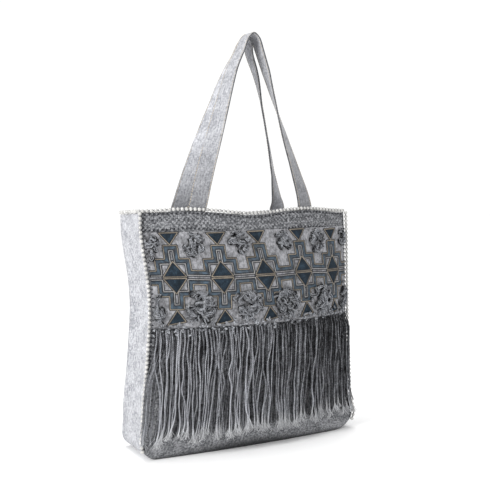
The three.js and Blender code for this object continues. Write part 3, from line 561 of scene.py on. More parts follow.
def add_node(tree, kind, links=None, **settings):
    """A node whose inputs, by name or place, take a value or another node's output."""
    node = tree.nodes.new(kind)
    for key, value in settings.items():
        setattr(node, key, value)
    for socket, source in (links or {}).items():
        if isinstance(source, bpy.types.NodeSocket):
            tree.links.new(source, node.inputs[socket])
        else:
            node.inputs[socket].default_value = source
    return node


def calculate(tree, operation, first, second=0.0, third=0.0):
    values = {0: first, 1: second, 2: third}
    return add_node(tree, "ShaderNodeMath", values, operation=operation).outputs[0]


def new_tree(name, inputs):
    """A geometry tree with named inputs, given as name, kind and default."""
    tree = bpy.data.node_groups.new(name, "GeometryNodeTree")
    tree.interface.new_socket("Lines", in_out="INPUT", socket_type="NodeSocketGeometry")
    for label, kind, default in inputs:
        socket = tree.interface.new_socket(label, in_out="INPUT", socket_type="NodeSocket" + kind)
        if default is not None:
            socket.default_value = default
    tree.interface.new_socket("Geometry", in_out="OUTPUT", socket_type="NodeSocketGeometry")
    return tree, tree.nodes.new("NodeGroupInput").outputs, tree.nodes.new("NodeGroupOutput").inputs


def named(tree, name, kind):
    node = add_node(tree, "GeometryNodeInputNamedAttribute", {"Name": name}, data_type=kind)
    return node.outputs["Attribute"]


def stored(tree, geometry, name, value, kind, domain):
    """The geometry with a value of its own under a name."""
    links = {"Geometry": geometry, "Name": name, "Value": value}
    return add_node(tree, "GeometryNodeStoreNamedAttribute", links, data_type=kind, domain=domain).outputs[0]


def random_value(tree, low, high, seed):
    links = {2: low, 3: high, "Seed": seed}
    return add_node(tree, "FunctionNodeRandomValue", links, data_type="FLOAT").outputs[1]


def combined(tree, x, y, z=0.0):
    return add_node(tree, "ShaderNodeCombineXYZ", {"X": x, "Y": y, "Z": z}).outputs[0]


def curves_along(tree, given):
    return add_node(tree, "GeometryNodeMeshToCurve", {"Mesh": given["Lines"]}).outputs[0]


def strewn(tree, given, curves, shape, rotation, scale):
    """Copies of a shape at every pitch along curves, each with a random shade."""
    links = {"Curve": curves, "Length": given["Pitch"]}
    stops = add_node(tree, "GeometryNodeResampleCurve", links, mode="LENGTH").outputs[0]
    links = {"Points": stops, "Instance": shape, "Rotation": rotation, "Scale": scale}
    copies = add_node(tree, "GeometryNodeInstanceOnPoints", links).outputs[0]
    return stored(tree, copies, "shade", random_value(tree, 0.0, 1.0, given["Seed"]), "FLOAT", "INSTANCE")


def finished(tree, geometry, material):
    smooth = add_node(tree, "GeometryNodeSetShadeSmooth", {"Geometry": geometry}).outputs[0]
    real = add_node(tree, "GeometryNodeRealizeInstances", {"Geometry": smooth}).outputs[0]
    return add_node(tree, "GeometryNodeSetMaterial", {"Geometry": real, "Material": material}).outputs[0]


def tree_named(name, make):
    return bpy.data.node_groups.get(name) or make(name)


def yarn_tree(name):
    """Round yarn along lines. Each point's thick gives the radius; turn tells the way round the yarn."""
    tree, given, result = new_tree(name, [("Sides", "Int", 6), ("Material", "Material", None)])
    circle = add_node(tree, "GeometryNodeCurvePrimitiveCircle", {"Resolution": given["Sides"], "Radius": 1.0})
    place = add_node(tree, "GeometryNodeInputIndex").outputs[0]
    angle = calculate(tree, "MULTIPLY", calculate(tree, "DIVIDE", place, given["Sides"]), math.tau)
    turn = combined(tree, calculate(tree, "COSINE", angle), calculate(tree, "SINE", angle))
    links = {
        "Curve": curves_along(tree, given),
        "Profile Curve": stored(tree, circle.outputs["Curve"], "turn", turn, "FLOAT_VECTOR", "POINT"),
        "Scale": named(tree, "thick", "FLOAT"),
        "Fill Caps": True,
    }
    tube = add_node(tree, "GeometryNodeCurveToMesh", links).outputs[0]
    tree.links.new(finished(tree, tube, given["Material"]), result[0])
    return tree


def bead_tree(name):
    """Beads on a thread along lines."""
    inputs = [
        ("Pitch", "Float", 0.0063),
        ("Radius", "Float", 0.0029),
        ("Thread Radius", "Float", 0.001),
        ("Seed", "Int", BEAD_SEED),
        ("Material", "Material", None),
        ("Thread Material", "Material", None),
    ]
    tree, given, result = new_tree(name, inputs)
    curves = curves_along(tree, given)
    way = add_node(tree, "GeometryNodeInputTangent").outputs[0]
    turned = add_node(tree, "FunctionNodeAlignRotationToVector", {"Vector": way}, axis="Z").outputs[0]
    ball = add_node(tree, "GeometryNodeMeshUVSphere", {"Segments": 14, "Rings": 8, "Radius": given["Radius"]})
    wide = random_value(tree, 0.93, 1.03, given["Seed"])
    scale = combined(tree, wide, wide, calculate(tree, "MULTIPLY", wide, 0.94))
    beads = strewn(tree, given, curves, ball.outputs["Mesh"], turned, scale)
    links = {"Resolution": 6, "Radius": given["Thread Radius"]}
    circle = add_node(tree, "GeometryNodeCurvePrimitiveCircle", links).outputs["Curve"]
    links = {"Curve": curves, "Profile Curve": circle, "Fill Caps": True}
    thread = add_node(tree, "GeometryNodeCurveToMesh", links).outputs[0]
    both = add_node(tree, "GeometryNodeJoinGeometry")
    tree.links.new(finished(tree, thread, given["Thread Material"]), both.inputs[0])
    tree.links.new(finished(tree, beads, given["Material"]), both.inputs[0])
    tree.links.new(both.outputs[0], result[0])
    return tree


def stitch_tree(name):
    """Short stitches along lines. Each point's facing is the way out of the cloth."""
    inputs = [
        ("Pitch", "Float", 0.004),
        ("Length", "Float", 0.003),
        ("Thickness", "Float", 0.0008),
        ("Slant", "Float", 0.0),
        ("Seed", "Int", STITCH_SEED),
        ("Material", "Material", None),
    ]
    tree, given, result = new_tree(name, inputs)
    way = add_node(tree, "GeometryNodeInputTangent").outputs[0]
    along = add_node(tree, "FunctionNodeAlignRotationToVector", {"Vector": way}, axis="X").outputs[0]
    links = {"Rotation": along, "Vector": named(tree, "facing", "FLOAT_VECTOR")}
    out = add_node(tree, "FunctionNodeAlignRotationToVector", links, axis="Z", pivot_axis="X").outputs[0]
    lean = calculate(tree, "ADD", given["Slant"], random_value(tree, -0.15, 0.15, given["Seed"]))
    links = {"Axis": (0.0, 0.0, 1.0), "Angle": lean}
    turn = add_node(tree, "FunctionNodeAxisAngleToRotation", links).outputs[0]
    links = {"Rotation": out, "Rotate By": turn}
    slanted = add_node(tree, "FunctionNodeRotateRotation", links, rotation_space="LOCAL").outputs[0]
    grain = add_node(tree, "GeometryNodeMeshUVSphere", {"Segments": 6, "Rings": 5, "Radius": 0.5})
    scale = combined(tree, given["Length"], given["Thickness"], given["Thickness"])
    stitches = strewn(tree, given, curves_along(tree, given), grain.outputs["Mesh"], slanted, scale)
    tree.links.new(finished(tree, stitches, given["Material"]), result[0])
    return tree


def grown_mesh(name, tree, lines, inputs):
    """The plain mesh that a tree grows along lines. A line is a dict of points in millimetres and of values
    that the points carry."""
    points = np.vstack([line["points"] for line in lines]) * MM
    edges, first = [], 0
    for line in lines:
        run = np.arange(first, first + len(line["points"]))
        edges.append(np.stack([run[:-1], run[1:]], -1))
        if line.get("closed"):
            edges.append(np.array([[run[-1], run[0]]]))
        first += len(run)
    source = bpy.data.meshes.new(name + "_lines")
    source.from_pydata(points.tolist(), np.vstack(edges).tolist(), [])
    for key in lines[0]:
        if key in ("points", "closed"):
            continue
        values = np.concatenate([np.asarray(line[key], np.float32) for line in lines])
        kind = "FLOAT" if values.ndim == 1 else "FLOAT_VECTOR"
        attribute = source.attributes.new(key, kind, "POINT")
        attribute.data.foreach_set("value" if kind == "FLOAT" else "vector", values.ravel())
    holder = bpy.data.objects.new(name + "_lines", source)
    bpy.context.scene.collection.objects.link(holder)
    modifier = holder.modifiers.new("grow", "NODES")
    modifier.node_group = tree
    for item in tree.interface.items_tree:
        if item.in_out == "INPUT" and item.name in inputs:
            modifier[item.identifier] = inputs[item.name]
    graph = bpy.context.evaluated_depsgraph_get()
    mesh = bpy.data.meshes.new_from_object(holder.evaluated_get(graph), depsgraph=graph)
    mesh.name = name
    bpy.data.objects.remove(holder)
    bpy.data.meshes.remove(source)
    if not mesh.polygons:
        raise RuntimeError(name + " grew no faces")
    return mesh


def yarn_line(points, thick, shade, tip=0.0, closed=False):
    """A line for the yarn tree, with its run in metres."""
    n = len(points)
    return {
        "points": points,
        "closed": closed,
        "thick": np.broadcast_to(np.asarray(thick, float) * MM, n),
        "shade": np.broadcast_to(np.asarray(shade, float), n),
        "tip": np.broadcast_to(np.asarray(tip, float), n),
        "run": run_along(points) * MM,
    }


def yarn_mesh(name, lines, sides, material):
    inputs = {"Sides": sides, "Material": material}
    return grown_mesh(name, tree_named("Yarn along lines", yarn_tree), lines, inputs)


def stitch_mesh(name, lines, material, pitch, long, thick, slant=0.0, seed=STITCH_SEED):
    """Stitches along lines that carry the way out of the cloth; sizes are in metres."""
    inputs = {
        "Pitch": pitch,
        "Length": long,
        "Thickness": thick,
        "Slant": slant,
        "Seed": seed,
        "Material": material,
    }
    return grown_mesh(name, tree_named("Stitches along lines", stitch_tree), lines, inputs)


# Materials


class Finish:
    """A material that is being put together on the principled shader."""

    def __init__(self, name, **sockets):
        self.material = bpy.data.materials.new(name)
        self.material.use_nodes = True
        self.tree = self.material.node_tree
        self.shader = self.tree.nodes["Principled BSDF"]
        for label, value in sockets.items():
            self.shader.inputs[label.replace("_", " ").title().replace("Ior", "IOR")].default_value = value

    def node(self, kind, links=None, **settings):
        return add_node(self.tree, kind, links, **settings)

    def cloth(self, stretch=(1, 1, 1)):
        """The cloth's own map in metres, drawn out along one way."""
        flat = self.node("ShaderNodeUVMap", uv_map="cloth").outputs[0]
        return self.node("ShaderNodeMapping", {"Vector": flat, "Scale": stretch}).outputs[0]

    def place(self):
        return self.node("ShaderNodeTexCoord").outputs["Object"]

    def own(self, name, output="Fac"):
        return self.node("ShaderNodeAttribute", attribute_name=name).outputs[output]

    def noise(self, vector, scale, detail=2.0, roughness=0.5):
        links = {"Vector": vector, "Scale": scale, "Detail": detail, "Roughness": roughness}
        return self.node("ShaderNodeTexNoise", links).outputs[0]

    def math(self, operation, first, second=0.0, third=0.0):
        return calculate(self.tree, operation, first, second, third)

    def axis(self, vector, which):
        return self.node("ShaderNodeSeparateXYZ", {0: vector}).outputs[which]

    def between(self, value, start, end, low=0.0, high=1.0):
        """Goes from low to high while a value goes from start to end."""
        links = {"Value": value, "From Min": start, "From Max": end, "To Min": low, "To Max": high}
        return self.node("ShaderNodeMapRange", links).outputs[0]

    def blend(self, shares):
        """A weighted sum of values."""
        total = None
        for value, weight in shares:
            part = self.math("MULTIPLY", value, weight)
            total = part if total is None else self.math("ADD", total, part)
        return total

    def ramp(self, value, stops):
        node = self.node("ShaderNodeValToRGB", {"Fac": value})
        points = node.color_ramp.elements
        while len(points) < len(stops):
            points.new(0.5)
        for point, (place, tone) in zip(points, stops):
            point.position = place
            point.color = (*tone, 1.0)
        return node.outputs[0]

    def mix(self, share, first, second, way="MIX"):
        node = self.node("ShaderNodeMix", data_type="RGBA", blend_type=way)
        for socket, value in ((0, share), (6, first), (7, second)):
            if isinstance(value, bpy.types.NodeSocket):
                self.tree.links.new(value, node.inputs[socket])
            else:
                node.inputs[socket].default_value = value if socket == 0 else (*value, 1.0)
        return node.outputs[2]

    def paint(self, tone):
        self.tree.links.new(tone, self.shader.inputs["Base Color"])

    def rough(self, value):
        self.tree.links.new(value, self.shader.inputs["Roughness"])

    def bump(self, height, strength, depth_mm):
        links = {"Height": height, "Strength": strength, "Distance": depth_mm * MM}
        self.tree.links.new(self.node("ShaderNodeBump", links).outputs[0], self.shader.inputs["Normal"])


def made_once(make):
    """Keeps one material for each maker."""
    name = make.__name__

    def kept():
        return bpy.data.materials.get(name) or make(name)

    return kept


def per_mm(size):
    """A texture scale whose features are about size millimetres."""
    return 1.0 / (size * MM)


def woven(finish, pitch):
    """The height of a plain weave with its threads a pitch apart."""
    flat = finish.cloth()
    around = math.tau / (pitch * MM)
    warp = finish.math("SINE", finish.math("MULTIPLY", finish.axis(flat, 0), around))
    weft = finish.math("SINE", finish.math("MULTIPLY", finish.axis(flat, 1), around))
    return finish.math("MULTIPLY", warp, weft)


def canvas(name, depth, fade, foot=None):
    """Grey washed canvas: slubby warp and weft, faded patches. depth is its share of the full lightness,
    fade the half range of tones between its dark and light threads. A strap's canvas has painted shade along
    its edges, where its side lies in shade, and foot is its painted lightness where the strap is sewn on, for
    the shade there."""
    dark, light = Vector(colours().canvas_dark) * depth, Vector(colours().canvas_light) * depth
    finish = Finish(name, sheen_weight=0.15, sheen_roughness=0.6, specular_ior_level=0.2)
    warp = finish.noise(finish.cloth((1, 0.2, 1)), per_mm(2.4), 3)
    weft = finish.noise(finish.cloth((0.3, 1, 1)), per_mm(2.2), 3)
    fleck = finish.noise(finish.cloth((1, 0.7, 1)), per_mm(2.8), 4, 0.7)
    faded = finish.noise(finish.cloth(), per_mm(22), 4)
    tone = finish.blend(((warp, 0.26), (weft, 0.12), (fleck, 0.44), (faded, 0.18)))
    washed = finish.ramp(tone, ((0.5 - fade, dark), (0.5 + fade, light)))
    if foot is not None:
        # painted shade: darker towards the strap's sewn-on ends, where it lies in shade
        painted_root_shade = finish.between(finish.axis(finish.place(), 2), *STRAP_FOOT, foot, 1.0)
        # painted shade: darker along the strap's edges, where its side lies in shade
        across = finish.math("ABSOLUTE", finish.axis(finish.cloth(), 0))
        painted_edge_shade = finish.between(across, *STRAP_SHADE, 1.0, SHADE_TONE)
        washed = finish.mix(1.0, washed, finish.math("MULTIPLY", painted_root_shade, painted_edge_shade), "MULTIPLY")
    finish.paint(washed)
    finish.rough(finish.math("MULTIPLY_ADD", fleck, 0.2, 0.75))
    height = finish.blend(((woven(finish, 1.1), 0.25), (warp, 0.8), (weft, 0.8), (fleck, 0.5)))
    finish.bump(height, 0.5, 0.5)
    return finish.material


@made_once
def washed_canvas(name):
    return canvas(name, 1.0, 0.065)


# The front strap's canvas is a darker copy with painted shade at its sewn-on ends; the back strap's is a
# lighter copy, painted light for the shade its sewn-on ends lie in
@made_once
def front_strap_canvas(name):
    return canvas(name, 0.93, 0.09, 0.56)


@made_once
def back_strap_canvas(name):
    return canvas(name, 1.15, 0.09, 1.0)


@made_once
def fleck_weave(name):
    """Thick tweed of the front: dark and pale flecks in rows, with painted shade along its lower edge."""
    finish = Finish(name, sheen_weight=0.2, sheen_roughness=0.6, specular_ior_level=0.2)
    links = {"Vector": finish.cloth((1, 1.25, 1)), "Scale": per_mm(3.0), "Randomness": 0.65}
    cells = finish.node("ShaderNodeTexVoronoi", links)
    hue = finish.axis(cells.outputs["Color"], 0)
    rough = finish.noise(finish.cloth(), per_mm(1.6), 4, 0.6)
    broad = finish.noise(finish.cloth(), per_mm(16), 3)
    round_loop = finish.math("SUBTRACT", 1.0, cells.outputs["Distance"])
    rows = finish.math("MULTIPLY_ADD", woven(finish, 7.4), 0.5, 0.5)
    knots = finish.blend(((hue, 0.22), (rough, 0.3), (broad, 0.12), (round_loop, 0.3), (rows, 0.14)))
    dark, mid, light = colours().tweed_dark, colours().tweed_mid, colours().tweed_light
    border = finish.ramp(knots, ((0.37, dark), (0.53, mid), (0.73, light)))
    grain = finish.noise(finish.cloth(), per_mm(3.2), 4, 0.7)
    plain = finish.blend(((grain, 0.75), (broad, 0.25)))
    strip = finish.ramp(plain, ((0.36, dark), (0.46, mid), (0.58, light)))
    height = finish.axis(finish.cloth(), 1)
    # painted shade: darker along the lowest few millimetres, where the bottom edge lies in shade
    painted_foot_shade = finish.mix(finish.between(height, 0.004, 0.018), Vector(dark) * 0.6, strip)
    finish.paint(finish.mix(finish.between(height, 0.1, 0.15), painted_foot_shade, border))
    finish.rough(finish.math("MULTIPLY_ADD", rough, 0.15, 0.8))
    finish.bump(finish.blend(((cells.outputs["Distance"], -1.0), (rough, 0.6))), 0.8, 1.0)
    return finish.material


@made_once
def band_felt(name):
    """Smooth pale grey ground of the embroidery."""
    finish = Finish(name, sheen_weight=0.15, sheen_roughness=0.5, specular_ior_level=0.2)
    fleck = finish.noise(finish.cloth((1, 0.6, 1)), per_mm(3.6), 5, 0.7)
    cloud = finish.noise(finish.cloth(), per_mm(14), 3)
    tone = finish.blend(((fleck, 0.65), (cloud, 0.35)))
    base = Vector(colours().band)
    finish.paint(finish.ramp(tone, ((0.40, base * 0.45), (0.5, base * 0.95), (0.60, base * 1.5))))
    finish.rough(finish.math("MULTIPLY_ADD", fleck, 0.2, 0.75))
    finish.bump(finish.blend(((fleck, 1.0), (woven(finish, 0.9), 0.2))), 0.5, 0.5)
    return finish.material


@made_once
def satin_ribbon(name):
    """Steel blue satin with fine threads along the ribbon and patches of painted sheen."""
    finish = Finish(name, roughness=0.36, sheen_weight=0.1, specular_ior_level=0.5)
    thread = finish.noise(finish.cloth((1, 0.06, 1)), per_mm(0.6), 2)
    painted_sheen = finish.noise(finish.cloth((0.4, 1, 1)), per_mm(10), 3)
    tone = finish.blend(((thread, 0.35), (painted_sheen, 0.65)))
    finish.paint(finish.ramp(tone, ((0.42, colours().ribbon_dark), (0.62, colours().ribbon_light))))
    finish.bump(thread, 0.35, 0.25)
    return finish.material


@made_once
def slate_patch(name):
    """Dark slate cloth of the diamonds and triangles."""
    finish = Finish(name, roughness=0.85, sheen_weight=0.05, sheen_roughness=0.5, specular_ior_level=0.15)
    fleck = finish.noise(finish.place(), per_mm(1.6), 3, 0.6)
    worn = finish.noise(finish.place(), per_mm(9), 3)
    tone = finish.blend(((fleck, 0.5), (worn, 0.5)))
    base = Vector(colours().patch)
    finish.paint(finish.ramp(tone, ((0.38, base * 0.55), (0.52, base), (0.64, base * 2.4))))
    finish.bump(fleck, 0.5, 0.35)
    return finish.material


def twisted(finish, lay, plies):
    """The height of plies twisted once in a lay, in millimetres."""
    around = finish.own("turn", "Vector")
    angle = finish.math("ARCTAN2", finish.axis(around, 1), finish.axis(around, 0))
    phase = finish.math("ADD", angle, finish.math("MULTIPLY", finish.own("run"), math.tau / (lay * MM)))
    wave = finish.math("SINE", finish.math("MULTIPLY", phase, plies))
    return finish.math("MULTIPLY_ADD", wave, 0.5, 0.5)


def spun_yarn(name, dark, light, frayed, lay, plies=2):
    """Twisted yarn whose tone goes by its own shade, with paler frayed ends and painted shade in its twist's
    grooves.
    """
    finish = Finish(name, roughness=0.88, sheen_weight=0.1, sheen_roughness=0.5, specular_ior_level=0.15)
    ply = twisted(finish, lay, plies)
    fuzz = finish.noise(finish.place(), per_mm(1.2), 3, 0.6)
    drift = finish.noise(finish.place(), per_mm(18), 2)
    nub = finish.noise(finish.place(), per_mm(3.5), 3, 0.6)
    tone = finish.blend(((finish.own("shade"), 0.62), (fuzz, 0.7), (nub, 0.7), (drift, 0.3)))
    tone = finish.math("SUBTRACT", tone, 0.59)
    paint = finish.ramp(tone, ((0.27, dark), (0.52, Vector(dark).lerp(Vector(light), 0.36)), (0.9, light)))
    # painted shade: darker in the grooves between the plies
    groove_shaded = finish.mix(finish.math("MULTIPLY_ADD", ply, -0.6, 0.6), paint, (0.0, 0.0, 0.0))
    finish.paint(finish.mix(finish.own("tip"), groove_shaded, frayed))
    finish.bump(finish.blend(((ply, 0.7), (fuzz, 0.4))), 0.8, 0.5)
    return finish.material


@made_once
def grey_yarn(name):
    return spun_yarn(name, colours().yarn_dark, colours().yarn_light, colours().yarn_frayed, 5.5)


@made_once
def tuft_wool(name):
    return spun_yarn(name, colours().yarn_dark, colours().wool_light, colours().yarn_frayed, 9.0)


@made_once
def tan_cord(name):
    base = Vector(colours().tan_cord)
    return spun_yarn(name, base * 0.6, base * 1.25, base, 2.6)


@made_once
def pale_cord(name):
    base = Vector(colours().pale_cord)
    return spun_yarn(name, base * 0.55, base * 1.2, base, 2.2)


@made_once
def pearl_bead(name):
    """Pearly white beads with a soft cloudiness."""
    finish = Finish(name, roughness=0.22, coat_weight=0.5, coat_roughness=0.08, specular_ior_level=0.6)
    cloud = finish.noise(finish.place(), per_mm(3), 3)
    tone = finish.blend(((cloud, 0.5), (finish.own("shade"), 0.5)))
    base = Vector(colours().bead)
    finish.paint(finish.ramp(tone, ((0.25, base * 0.72), (0.7, base))))
    finish.bump(cloud, 0.1, 0.2)
    return finish.material


def plain_thread(name, tone):
    finish = Finish(name, roughness=0.8, sheen_weight=0.1, specular_ior_level=0.2)
    fuzz = finish.noise(finish.place(), per_mm(0.8), 3)
    base = Vector(tone)
    finish.paint(finish.ramp(fuzz, ((0.3, base * 0.7), (0.7, base * 1.25))))
    finish.bump(fuzz, 0.5, 0.2)
    return finish.material


@made_once
def dark_thread(name):
    return plain_thread(name, colours().thread_dark)


@made_once
def bead_thread(name):
    return plain_thread(name, colours().bead_thread)


@made_once
def strap_thread(name):
    return plain_thread(name, colours().topstitch)


@made_once
def pale_thread(name):
    return plain_thread(name, colours().tweed_light)


@made_once
def studio_floor(name):
    finish = Finish(name, roughness=0.7, specular_ior_level=0.2)
    dust = finish.noise(finish.place(), 6.0, 3)
    base = Vector(colours().floor)
    finish.paint(finish.ramp(dust, ((0.3, base * 0.985), (0.7, base))))
    return finish.material


# The panels and the gusset


def levels():
    """Heights of a panel's rows, closer together in the round lower corners."""
    corner = CORNER_RADIUS * (1 - np.cos(np.linspace(0, math.pi / 2, CORNER_ROWS)))
    side = np.linspace(CORNER_RADIUS, RIM_HEIGHT, round((RIM_HEIGHT - CORNER_RADIUS) / CLOTH_STEP))
    return np.concatenate([corner, side[1:]])


def panel_grid(surface_y, rim, inward, table, shown):
    """A panel's outer and inner points. shown says how much of the hollows a height takes."""
    level = levels()[:, None]
    share = np.linspace(0, 1, round((right_edge(80) - left_edge(80)) / CLOTH_STEP))[None, :]
    x = lerp(left_edge(level), right_edge(level), share)
    z = level * rim(x) / RIM_HEIGHT
    edge = 1 - np.abs(2 * share - 1) ** 6
    y = surface_y(x, z) + inward * hollows(table, x, z) * shown(z) * edge
    outer = np.stack([x, y, z], -1)
    wall = np.array([0, inward * in_mm(sizes().cloth), 0])
    return outer, outer + wall


def clear_of_band(z):
    """How much of the front's hollows a height takes: none at the band, all away from it."""
    below = ease(*(BAND_BOTTOM - gap for gap in BELOW_BAND), z)
    return below + ease(*(BAND_TOP + gap for gap in ABOVE_BAND), z)


def gusset_outline():
    """Down the left side, along the base and up the right side, as x and z."""
    rise = levels()
    left, right = (np.stack([edge(rise), rise], -1) for edge in (left_edge, right_edge))
    base = np.linspace(left_edge(0), right_edge(0), BASE_ROWS)[1:-1]
    floor = np.stack([base, np.zeros_like(base)], -1)
    return np.vstack([left[::-1], floor, right])


def gusset_grid():
    """The gusset's outer and inner points, tucked in along its middle and softly folded."""
    outline = gusset_outline()
    way = np.gradient(outline, axis=0)
    inward = unit(np.stack([-way[:, 1], way[:, 0]], -1))
    inward[outline[:, 1] == 0] = (0, 1)
    x, z = outline[:, :1], outline[:, 1:]
    across = np.linspace(0, 1, GUSSET_COLUMNS + 1)[None, :]
    cloth = in_mm(sizes().cloth)
    start, end = front_y(x, z) + cloth + GAP, back_y(x, z) - cloth - GAP
    y = lerp(start, end, across)
    bow = 4 * across * (1 - across)
    ripple = GUSSET_RIPPLE["depth"] * np.sin(z / GUSSET_RIPPLE["run"] + GUSSET_RIPPLE["skew"] * across)
    rippled = bell(z - GUSSET_RIPPLE["height"], GUSSET_RIPPLE["tall"])
    tuck = section(z, "side_tuck") * bow + ripple * rippled * bow
    for fold in GUSSET_FOLDS:
        crease = bell(across - fold["across"], fold["wide"]) * bell(z - fold["height"], fold["tall"])
        tuck = tuck + fold["depth"] * crease
    height = z * lerp(front_rim(x), back_rim(x), across) / RIM_HEIGHT

    def grid(depth):
        reach = depth + tuck
        return np.stack([x + inward[:, :1] * reach, y, height + inward[:, 1:] * reach], -1)

    return grid(0.0), grid(cloth)


def add_wall(name, grids, materials, node):
    """Puts a wall of cloth in the scene in place of a CAD node."""
    piece = add_piece(name, wall_mesh(name, *grids, materials), [node])


class TOTE_OT_panels(bpy.types.Operator):
    """Makes the front and back panels"""

    bl_idname = "tote.panels"
    bl_label = "Front and back"

    def execute(self, context):
        front = panel_grid(front_y, front_rim, 1, FRONT_HOLLOWS, clear_of_band)
        back = panel_grid(back_y, back_rim, -1, BACK_HOLLOWS, np.ones_like)
        materials = (fleck_weave(), washed_canvas())
        add_wall("front_cloth", front, materials, "front_panel")
        add_wall("back_cloth", back, materials[1:], "back_panel")
        return {"FINISHED"}


class TOTE_OT_gusset(bpy.types.Operator):
    """Makes the gusset that runs down one side, under the base and up the other side"""

    bl_idname = "tote.gusset"
    bl_label = "Gusset"

    def execute(self, context):
        add_wall("gusset_cloth", gusset_grid(), (washed_canvas(),), "gusset")
        return {"FINISHED"}


# Straps


def strap_stations(side):
    """Places and turns of a strap's middle line, from one tail over the apex to the other."""
    apex_x, apex_z = STRAP_APEX[side]
    root_turn = STRAP_ROOT_TURN[side]
    seat_gap = in_mm(sizes().cloth) + STRAP_TAIL_GAP + in_mm(sizes().strap_thickness) / 2

    def seat_y(x, z):
        return float(front_y(x, z) + seat_gap if side == "front" else back_y(x, z) - seat_gap)

    def leg(name, turned):
        column = STRAP_COLUMNS.index(name)
        root_x = STRAP_COURSE[0][column]
        root_y = seat_y(root_x, STRAP_ROOT_HEIGHT)
        stations = []
        for share in (1, 0.5):
            z = STRAP_ROOT_HEIGHT - STRAP_TAIL * share
            stations.append(((root_x, seat_y(root_x, z), z), 180 - root_turn if turned else root_turn))
        for course, turns in zip(STRAP_COURSE, STRAP_TURN):
            rise, turn = course[0], turns[column]
            y = lerp(root_y, STRAP_LEAN_APEX[side], rise)
            z = lerp(STRAP_ROOT_HEIGHT, apex_z, rise)
            stations.append(((course[column], y, z), 180 - turn if turned else turn))
        return stations

    top = ((apex_x, STRAP_LEAN_APEX[side], apex_z), 90)
    return [*leg(side + "_left", False), top, *leg(side + "_right", True)[::-1]]


def strap_frame(side):
    """A strap's middle line with the way across it and the way out of it, at every step."""
    stations = strap_stations(side)
    places = np.linspace(0, 1, STRAP_STEPS + 1)
    middle, along = smooth_line([place for place, _ in stations], places)
    turn = np.radians(np.interp(places * (len(stations) - 1), range(len(stations)), [t for _, t in stations]))
    across = np.stack([np.cos(turn), -np.sin(turn), np.zeros_like(turn)], -1)
    across = unit(across - along * np.einsum("ij,ij->i", across, along)[:, None])
    return middle, across, np.cross(across, along)


def strap_mesh(name, middle, across, out, material):
    """A strap with stitched-down edges, soft waves and a few dents, and its length."""
    half_width, half_thick = in_mm(sizes().strap_width) / 2, in_mm(sizes().strap_thickness) / 2
    run = run_along(middle)
    wave = sum(height * np.sin(run / stretch + start) for height, stretch, start in STRAP_WAVES)
    dent = sum(depth * bell(run - place, spread) for place, spread, depth in STRAP_DENTS)
    rings, uv = [], []
    for w, n in (*STRAP_SECTION, *[(w, -n) for w, n in STRAP_SECTION[::-1]]):
        side_wave = wave * abs(w) ** 3 * EDGE_WAVE + dent * bell(w - DENT_PLACE, DENT_SPREAD)
        place = middle + across * (w * (half_width + WIDTH_WAVE * wave))[:, None]
        rings.append(place + out * (n * half_thick + side_wave)[:, None])
        uv.append(np.stack([np.full_like(run, w * half_width), run], -1))
    return tube_mesh(name, np.stack(rings, 1), (material,), np.stack(uv, 1)), run[-1]


class TOTE_OT_straps(bpy.types.Operator):
    """Makes both straps and their topstitching"""

    bl_idname = "tote.straps"
    bl_label = "Straps"

    def execute(self, context):
        edge_line = STITCH_LINE * in_mm(sizes().strap_width) / 2
        face_line = STITCH_SEAT * in_mm(sizes().strap_thickness) / 2
        sewing = (strap_thread(), sizes().stitch_pitch, sizes().stitch, sizes().stitch_thickness)
        for side, material in (("front", front_strap_canvas()), ("back", back_strap_canvas())):
            middle, across, out = strap_frame(side)
            mesh, run = strap_mesh(f"{side}_strap_cloth", middle, across, out, material)
            piece = add_piece(f"{side}_strap_cloth", mesh, [f"strap_{side}"])
            lines = []
            for edge in (-1, 1):
                for face in (-1, 1):
                    seat = middle + across * (edge * edge_line) + out * (face * face_line)
                    lines.append({"points": seat, "facing": out * face})
            name = f"{side}_strap_stitches"
            add_piece(name, stitch_mesh(name, lines, *sewing))
        return {"FINISHED"}


# The embroidered band


# The cloth along the motifs' middle line: places from side to side and the length up to each of them
MIDDLE_X = np.linspace(-230, 230, 921)
MIDDLE_RUN = run_along(np.column_stack([MIDDLE_X, front_y(MIDDLE_X, MOTIF_LINE)]))
MIDDLE_RUN = MIDDLE_RUN - np.interp(0, MIDDLE_X, MIDDLE_RUN)


def on_front(x, z, proud):
    x, z = np.broadcast_arrays(np.asarray(x, float), np.asarray(z, float))
    return np.stack([x, front_y(x, z) - proud, z], -1)


def on_band(along, above, proud):
    """Places on the band, from a length along the cloth and a height above the motifs' middle line."""
    z = MOTIF_LINE + np.asarray(above, float)
    left, right = left_edge(MOTIF_LINE), right_edge(MOTIF_LINE)
    share = (np.interp(along, MIDDLE_RUN, MIDDLE_X) - left) / (right - left)
    return on_front(lerp(left_edge(z), right_edge(z), share), z, proud)


def in_motif(motif, chart):
    """Places on the band, from places in a motif's own chart."""
    across, above = np.array(chart, float).T
    along = motif["along"] + motif["wide"] * across + motif["lean"] * above
    return np.stack([along, motif["lift"] + above], -1)


class TOTE_OT_band(bpy.types.Operator):
    """Makes the ground cloth of the embroidery"""

    bl_idname = "tote.band"
    bl_label = "Embroidered band"

    def execute(self, context):
        z = np.linspace(BAND_BOTTOM, BAND_TOP, round((BAND_TOP - BAND_BOTTOM) / CLOTH_STEP))[:, None]
        share = np.linspace(0, 1, BAND_COLUMNS)[None, :]
        x = lerp(left_edge(z) + BAND_MARGIN, right_edge(z) - BAND_MARGIN, share)
        pucker = BAND_PUCKER * np.sin(x / 5.1 + z / 9) * np.sin(z / 6.3 - x / 21)
        grids = on_front(x, z, BAND_FACE + pucker), on_front(x, z, BAND_SEAT)
        add_wall("band_cloth", grids, (band_felt(),), "embroidered_band")
        return {"FINISHED"}


# Ribbons, patches and their cords


